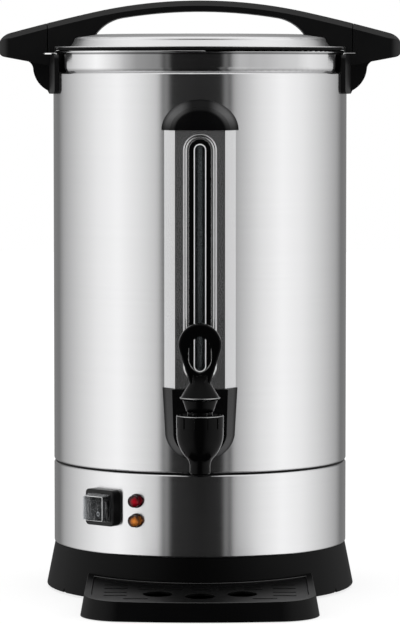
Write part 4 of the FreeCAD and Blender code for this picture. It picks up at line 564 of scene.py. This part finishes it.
def lens(name, rim, middle, height):
    """Translucent coloured plastic: bright in the middle, dark at the rim, in facets."""
    made, shader, place = new_finish(name, rim, 0.2, Specular_IOR_Level=0.2)
    centred = place.node("Mapping", {"vector_type": "TEXTURE"}, {
        "Vector": place, "Location": (0.0, 0.0, height), "Rotation": (0.0, 0.0, lamp_turn)})
    across, _, up = centred.split()
    across = across - lens_bright
    radius = place.math("SQRT", across * across + up * up) / lens_radius
    facets = place.node("TexVoronoi", {"feature": "F1"}, {"Vector": centred, "Scale": 620.0})
    glow = place.node("MapRange", {"interpolation_type": "SMOOTHSTEP"}, {
        "Value": radius + facets * 0.3, "From Min": 0.22, "From Max": 0.95, "To Min": 1.0, "To Max": 0.0})
    tint = place.node("Mix", {"data_type": "RGBA"}, {0: glow, 6: (*rim, 1), 7: (*middle, 1)}, out=2)
    tint.feed(shader, "Base Color")
    tint.feed(shader, "Emission Color")
    shader.inputs["Emission Strength"].default_value = lens_glow
    place.node("Bump", {}, {"Height": facets, "Strength": 0.6, "Distance": 0.0004}).feed(shader, "Normal")
    return made


red_lens = lens("red lens", (0.01, 0.0, 0.001), (0.3, 0.002, 0.01), lamp_spots["lamp_red"])
amber_lens = lens("amber lens", (0.014, 0.0035, 0.0006), (0.6, 0.19, 0.03), lamp_spots["lamp_amber"])
dress(red_lens, "lamp_red")
dress(amber_lens, "lamp_amber")
dress(zinc, "lamp_clips")


# Rocker switch
# A bought-in switch: a black frame snapped into the lower casing, a rocker on two pegs, and a
# clear soft cap over it that keeps drips out.

edged("switch_frame_moulding", "switch_frame", handle_plastic, "urn", "handle_plastic", 0.25 * mm)
edged("rocker_moulding", "switch_rocker", handle_plastic, "rocker", "handle_plastic", 0.3 * mm)
cap_clear = clear("cap clear", (0.86, 0.87, 0.88), 0.12, 0.0, milk=0.6, streak=0.22)
cap_edge_highlight = moulded("cap edge highlight", (0.75, 0.76, 0.76), 0.2, 0.5, 0.0009, 0.00001)
cap = add_piece("switch_cap_moulding", merged("switch_cap"), cap_clear, "urn", ["switch_cap"])
cap.data.materials.append(cap_edge_highlight)
cap_out = max(cap.data.polygons, key=lambda face: face.area).normal.copy()
edge_least, edge_most = 0.25, 0.97      # how far the cap's rounded front edges face outwards
for face in cap.data.polygons:
    # these rounded edges are near-white plastic, a painted highlight
    if edge_least < face.normal.dot(cap_out) < edge_most:
        face.material_index = 1


def mark(name, bar, centre, normal, size):
    """A printed sign on the rocker: a bar, or a ring, lying on its face."""
    work = bmesh.new()
    if bar:
        made = bmesh.ops.create_grid(work, x_segments=1, y_segments=1, size=size / 2)
        bmesh.ops.scale(work, vec=(0.16, 1, 1), verts=made["verts"])
        faces = list(work.faces)
    else:
        bmesh.ops.create_circle(work, cap_ends=True, radius=size / 2, segments=40)
        middle = list(work.faces)
        work.normal_update()
        faces = bmesh.ops.inset_region(work, faces=middle, thickness=size * 0.15,
                                       use_boundary=True)["faces"]
        bmesh.ops.delete(work, geom=middle, context="FACES")
        bmesh.ops.scale(work, vec=(0.72, 1, 1), verts=work.verts)
    bmesh.ops.solidify(work, geom=faces, thickness=0.06 * mm)
    bmesh.ops.recalc_face_normals(work, faces=work.faces)
    out = Vector(normal).normalized()
    side = Vector((0, 0, 1)).cross(out).normalized()
    turned = Matrix((side, out.cross(side), out)).transposed()
    bmesh.ops.rotate(work, verts=work.verts, cent=(0, 0, 0), matrix=turned)
    bmesh.ops.translate(work, verts=work.verts, vec=Vector(centre) + out * 0.05 * mm)
    return add_piece(name, work, mark_white, "rocker", [])


mark_white = moulded("mark white", (0.8, 0.8, 0.8), 0.5, 0.4, 0.0009, 0.00001)
face_least = 80e-6          # square metres: only the rocker's front faces are larger
rocker_faces = {}
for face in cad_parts["switch_rocker"].data.polygons:
    key = tuple(round(part, 2) for part in face.normal)
    area, total = rocker_faces.get(key, (0.0, Vector()))
    rocker_faces[key] = (area + face.area, total + face.center * face.area)
front_faces = sorted([(normal, total / area) for normal, (area, total) in rocker_faces.items()
                      if normal[1] < -0.5 and area > face_least], key=lambda item: item[1].z)
(low_normal, low_centre), *_, (high_normal, high_centre) = front_faces
mark("mark_on", True, high_centre, high_normal, 3.4 * mm)
mark("mark_off", False, low_centre, low_normal, 3.6 * mm)


# Drip tray and grid
# A shallow black tray hooks into the skirt, and a perforated black grid lies in its rim. Both
# are moulded with a satin grain.

tray_plastic = moulded("tray plastic", (0.0011, 0.0011, 0.0012), 0.34, 0.09, 0.0007, 0.00003)
# Painted highlight: the tray's softened edges get a grey metal finish on the black plastic.
tray_edge_highlight, *_ = brushed("tray edge highlight", (0.09, 0.09, 0.09), 0.4, 0.0, 0.0)
edged("drip_tray_moulding", "drip_tray", tray_plastic, "tray", "tray_plastic", 0.5 * mm, shine=tray_edge_highlight)
edged("drip_grid_moulding", "drip_grid", tray_plastic, "grid", "tray_plastic", 0.25 * mm)


# Studio
# A white floor that glows, and a sky whose brightness is set for each direction, so that the
# steel shows the photo's bands. The camera sees the sky as white, and is level with the neck.

floor_half = 5.0
plane = bmesh.new()
bmesh.ops.create_grid(plane, x_segments=1, y_segments=1, size=floor_half)
floor_mesh = bpy.data.meshes.new("floor")
plane.to_mesh(floor_mesh)
plane.free()
floor = bpy.data.objects.new("floor", floor_mesh)
bpy.context.scene.collection.objects.link(floor)
floor.visible_glossy = False
paper, paper_shader, _ = new_finish("floor paper", (0.3, 0.3, 0.3), 0.9, Specular_IOR_Level=0.1)
paper_shader.inputs["Emission Color"].default_value = (1, 1, 1, 1)
paper_shader.inputs["Emission Strength"].default_value = 0.75
floor_mesh.materials.append(paper)

steel_tone = 0.62
sky_most = 1.5
sky_above = 1.25
side_levels = (
    # the turn from the camera's side in degrees, left negative, and how bright brushed steel looks there
    (-146, 0.15), (-135, 0.33), (-110, 0.58), (-87, 0.80), (-67, 0.90), (-48, 0.72), (-36, 0.56),
    (-33, 0.50), (-30.5, 0.30), (-29.2, 0.16), (-28, 0.13), (-26.3, 0.25), (-25, 0.16), (-22.8, 0.035),
    (-21.3, 0.02), (0, 0.014), (15.5, 0.016), (17.3, 0.03), (19, 0.12), (20.3, 0.23), (22, 0.12),
    (23.3, 0.07), (24.4, 0.13), (26, 0.33), (28, 0.38), (31, 0.44), (48, 0.72), (67, 0.90),
    (87, 0.80), (110, 0.58), (135, 0.33), (146, 0.15),
)
world = bpy.data.worlds.new("studio")
bpy.context.scene.world = world
world.use_nodes = True
sky = Shade(world.node_tree, None)
sky_x, sky_y, sky_z = sky.node("TexCoord", {}, {}, out="Generated").split()
turn = sky.math("ARCTAN2", sky_x, sky_y * -1.0) / (2 * math.pi) + 0.5
side_stops = [(angle / 360 + 0.5, level / steel_tone / sky_most) for angle, level in side_levels]
sides = sky.node("ValToRGB", {"stops": side_stops}, {"Fac": turn}) * sky_most
above = sky.node("MapRange", {"interpolation_type": "SMOOTHSTEP"}, {
    "Value": sky_z, "From Min": 0.42, "From Max": 0.85})
below = sky.node("MapRange", {"interpolation_type": "SMOOTHSTEP"}, {
    "Value": sky_z, "From Min": -0.95, "From Max": -0.5, "To Min": 0.3, "To Max": 1.0})
glow = sides * (1 - above) * below + above * sky_above
seen = sky.node("LightPath", {}, {}, out="Is Camera Ray")
strength = glow * (1 - seen) + seen
background = world.node_tree.nodes["Background"]
background.inputs["Color"].default_value = (1, 1, 1, 1)
strength.feed(background, "Strength")

camera_back = 2.7
camera_height = 0.388
look_height = 0.2066
pixels_per_mm = 1.329
frame_height = 624
sensor_height = 36.0
camera_data = bpy.data.cameras.new("camera")
camera_data.sensor_fit = "VERTICAL"
camera_data.sensor_height = sensor_height
camera_data.lens = pixels_per_mm * camera_back / mm * sensor_height / frame_height
camera = bpy.data.objects.new("camera", camera_data)
camera.location = (0, -camera_back, camera_height)
camera.rotation_euler = (math.pi / 2 - math.atan2(camera_height - look_height, camera_back), 0, 0)
bpy.context.scene.collection.objects.link(camera)
bpy.context.scene.camera = camera
bpy.context.scene.view_settings.view_transform = "Standard"
